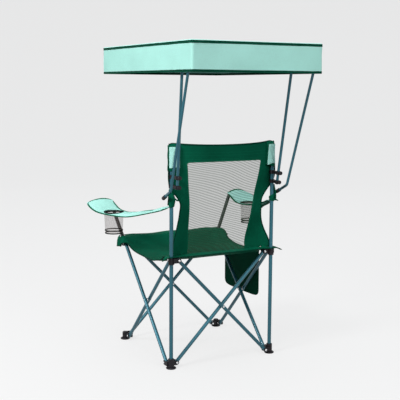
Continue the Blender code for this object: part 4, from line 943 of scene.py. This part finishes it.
def pouch_loop(z):
    """A level section of the pouch, flat on the chair's side and full outside."""
    share = (z - POUCH_LOW) / (POUCH_HIGH - POUCH_LOW)
    rise = max(0.0, POUCH_CORNER - (z - POUCH_LOW))
    cut = POUCH_CORNER - math.sqrt(max(0.0, POUCH_CORNER ** 2 - rise ** 2))
    front, rear = POUCH_FRONT + cut, POUCH_REAR - cut
    belly = 0.35 + 0.65 * math.sin(math.pi * min(1.0, (1.02 - share) * 0.62)) ** 0.7
    depth = (POUCH_IN - POUCH_OUT) * belly * ease(0.25 + share * 9)
    points = []
    for i in range(POUCH_STEPS):
        t = i / POUCH_STEPS
        if t < 0.5:
            y, bow = mix(front, rear, ease(t * 2) * 0.3 + t * 2 * 0.7), math.sin(math.pi * t * 2) ** 0.45
            x = POUCH_IN - 0.0006 - depth * bow
            x += 0.0016 * crumple(y, z, 17, 7.0) * bow
            x += 0.0011 * math.sin(z * 60 + y * 30) * bow * (1 - share)
        else:
            y = mix(rear, front, ease((t - 0.5) * 2) * 0.3 + (t - 0.5) * 2 * 0.7)
            x = POUCH_IN
        droop = 0.0070 * math.sin(math.pi * (y - front) / (rear - front)) * ease((share - 0.7) / 0.3)
        points.append(Vector((x, y, z - (droop if t < 0.5 else droop * 0.3))))
    return points


levels = [mix(POUCH_HIGH, POUCH_LOW, (i / POUCH_ROWS) ** 1.1) for i in range(POUCH_ROWS + 1)]
pouch = skin("pouch_cloth", [pouch_loop(z) for z in levels], "green", caps=False)
bm = bmesh.new()
bm.from_mesh(pouch.data)
bottom = [e for e in bm.edges if e.is_boundary and e.verts[0].co.z < POUCH_LOW + 0.02]
bmesh.ops.holes_fill(bm, edges=bottom, sides=80)
bmesh.ops.recalc_face_normals(bm, faces=bm.faces)
bm.to_mesh(pouch.data)
bm.free()
soften(pouch, POUCH_CLOTH, offset=-1.0)
wear(pouch, "rear_right_slider", "green_fabric", "side_pouch")
rim_path = []
mouth = pouch_loop(POUCH_HIGH - 0.001)
for i, point in enumerate(mouth):
    run = mouth[(i + 1) % POUCH_STEPS] - mouth[i - 1]
    rim_path.append((point + Vector((0, 0, -0.003)), UP, (run.y, -run.x, 0)))
pouch_hem = soften(tape("pouch_top_binding", rim_path, 0.0080, 0.0030, "light_binding", True))
wear(pouch_hem, "rear_right_slider", "green_fabric")
hangers = []
for label, y in (("front", 0.010), ("rear", 0.080)):
    def hanger_place(across, along, y=y):
        """A point of a short tab from the seat's edge to the pouch."""
        z = mix(0.4262, 0.4190, along)
        x = mix(-0.2528, -0.2590, ease(along * 1.6))
        return Vector((x, y + 0.016 * (across - 0.5), z))

    tab = soften(cloth_grid("pouch_tab_" + label, hanger_place, 4, 6, "green", (0.016, 0.012)), 0.0016)
    hangers.append(wear(tab, "rear_right_slider", "green_fabric"))

# Each soft piece gets its own copy of its mesh.
def gather(way, anchor, keep, *pieces):
    """Give each soft piece its own copy of its mesh; the way and the anchor are not used."""
    for piece in pieces:
        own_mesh(piece)


# The share of their width that the cloths between the posts, the roof and the armrests keep.
WIDTH_KEPT, ROOF_KEPT, ARMREST_KEPT = 0.322, 0.4473, 0.17
gather((1, 0, 0), (POST, 0, 0), WIDTH_KEPT, panel, net, *panel_tapes[:4], seat, seat_front,
       *seat_hems["rear"], *seat_hems["front"])
gather((1, 0, 0), (ROOF_X, 0, 0), ROOF_KEPT, canopy, canopy_hem, canopy_top_tape)
gather((0, 1, 0), (0, POST, 0), WIDTH_KEPT, pouch, pouch_hem, *hangers)
for soft in soft_arms.values():
    gather((0, 0.892, 0.452), (0, POST, 0.64), ARMREST_KEPT, *soft[:-3])

# Metal and plastic.
for name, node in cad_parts.items():
    if name.startswith("arm_post"):
        look = "black_tube"
    elif any(word in name for word in ("foot", "slider", "hub", "clamp", "knob", "cap")):
        look = "plastic"
    elif "rivet" in name or "bolt" in name:
        look = "zinc"
    elif any(word in name for word in ("tube", "post", "arm_", "rail")):
        look = "tube"
    else:
        continue
    node.data.materials.clear()
    node.data.materials.append(LOOKS[look])

# Rivet heads on the plastic forks.
LENGTH, INSET, FOOT_HEIGHT = 0.600, 0.028, 0.020
SPREAD = math.acos((2 * POST - 2 * INSET) / LENGTH)
TOP_HEIGHT = FOOT_HEIGHT + LENGTH * math.sin(SPREAD)
# A crossed tube's radius, its clearance in a fork and the fork's wall.
FORK_FACE = 0.0075 + 0.0005 + 0.0030
# How far outside and inside the posts' axes the forks stand, and their rivet heads.
OUTBOARD, INBOARD = 0.0075, -0.0105
HEAD_OUT, HEAD_RADIUS, HEAD_HEIGHT = 0.0014, 0.0049, 0.0012


def dome(bm, centre, way, radius, height):
    """A low round rivet head on a face."""
    turn = Vector(way).to_track_quat("Z", "Y").to_matrix()
    rings = ((radius, 0.0), (radius, height * 0.35), (radius * 0.86, height * 0.75), (radius * 0.5, height))
    rows = []
    for r, h in rings:
        rows.append([bm.verts.new(lift(Vector(centre) + turn @ Vector(
            (r * math.cos(math.tau * i / 16), r * math.sin(math.tau * i / 16), h)))) for i in range(16)])
    for a, b in zip(rows, rows[1:]):
        for i in range(16):
            bm.faces.new((a[i], a[(i + 1) % 16], b[(i + 1) % 16], b[i]))
    bm.faces.new(rows[-1])


for k, corner in enumerate(("rear_left", "rear_right", "front_right", "front_left")):
    spin = Matrix.Rotation(math.radians(90) * k, 3, "Z")
    for upper in (False, True):
        height = TOP_HEIGHT if upper else FOOT_HEIGHT
        bm = bmesh.new()
        bm.loops.layers.uv.new("cloth")
        for own in (True, False):
            offset = OUTBOARD if own == upper else INBOARD
            if own:
                base, way = Vector((POST - INSET, POST + offset, height)), Vector((0, 1, 0))
            else:
                base, way = Vector((POST + offset, POST - INSET, height)), Vector((1, 0, 0))
            for sign in (1, -1):
                face = base + way * sign * (FORK_FACE + HEAD_OUT)
                dome(bm, spin @ face, spin @ way * sign, HEAD_RADIUS, HEAD_HEIGHT)
        kind = ("slider" if k < 2 else "hub") if upper else "foot"
        heads = add_piece(f"{corner}_{kind}_rivets", bm, "zinc")
        if upper:
            body = f"{corner}_{kind}"
        else:
            body = {"rear_left": "root", "rear_right": "rear_right"}.get(corner, corner + "_foot")
        wear(heads, body, "rivet")

# Floor and light.
FLOOR_COLOUR, FLOOR_GLOW = (0.11, 0.11, 0.11, 1), 0.735
FLOOR_STEPS, FLOOR_DROP = 64, 0.0002
bm = bmesh.new()
profile = [(2.0, 0.0), (4.5, 0.0)]
for degrees in range(0, 91, 9):
    turn = math.radians(degrees)
    profile.append((6.0 + 3.0 * math.sin(turn), 3.0 - 3.0 * math.cos(turn)))
profile += [(9.0, 6.0), (9.0, 9.0)]
rows = []
for r, z in profile:
    turns = [math.tau * i / FLOOR_STEPS for i in range(FLOOR_STEPS)]
    rows.append([bm.verts.new((r * math.cos(turn), r * math.sin(turn), z - FLOOR_DROP)) for turn in turns])
hub = bm.verts.new((0, 0, -FLOOR_DROP))
for i in range(FLOOR_STEPS):
    k = (i + 1) % FLOOR_STEPS
    bm.faces.new((hub, rows[0][i], rows[0][k]))
    for a, b in zip(rows, rows[1:]):
        bm.faces.new((a[i], b[i], b[k], a[k]))
bmesh.ops.recalc_face_normals(bm, faces=bm.faces)
floor = add_object("studio_floor", bm)
floor.data.shade_smooth()
floor_look, tree, shader = shade("studio_paper", 0.9)
shader.inputs["Base Color"].default_value = FLOOR_COLOUR
shader.inputs["Emission Color"].default_value = (1, 1, 1, 1)
rays = add(tree, "ShaderNodeLightPath").outputs
seen_ray = maths(tree, "MAXIMUM", rays["Is Camera Ray"], rays["Is Glossy Ray"])
seen_ray = maths(tree, "MAXIMUM", seen_ray, rays["Is Transmission Ray"])
tree.links.new(maths(tree, "MULTIPLY", seen_ray, FLOOR_GLOW), shader.inputs["Emission Strength"])
floor.data.materials.append(floor_look)


def lamp(name, place, target, size, power):
    """A soft square light."""
    light = bpy.data.lights.new(name, "AREA")
    light.size = size
    light.energy = power
    made = bpy.data.objects.new(name, light)
    made.location = place
    made.rotation_euler = (Vector(target) - Vector(place)).to_track_quat("-Z", "Y").to_euler()
    SCENE.collection.objects.link(made)


lamp("key", (3.6, 0.9, 3.0), (0, 0, 0.7), 1.1, 160)
lamp("fill", (-0.6, 4.2, 2.6), (0, 0, 0.6), 3.0, 104)
lamp("top", (0.2, -0.5, 5.0), (0, 0, 0.5), 4.0, 48)
world = bpy.data.worlds.new("studio")
world.use_nodes = True
sky = world.node_tree.nodes["Background"]
sky.inputs["Color"].default_value = (0.9, 0.95, 1.0, 1)
sky.inputs["Strength"].default_value = 0.95
SCENE.world = world
SCENE.view_settings.view_transform = "Standard"
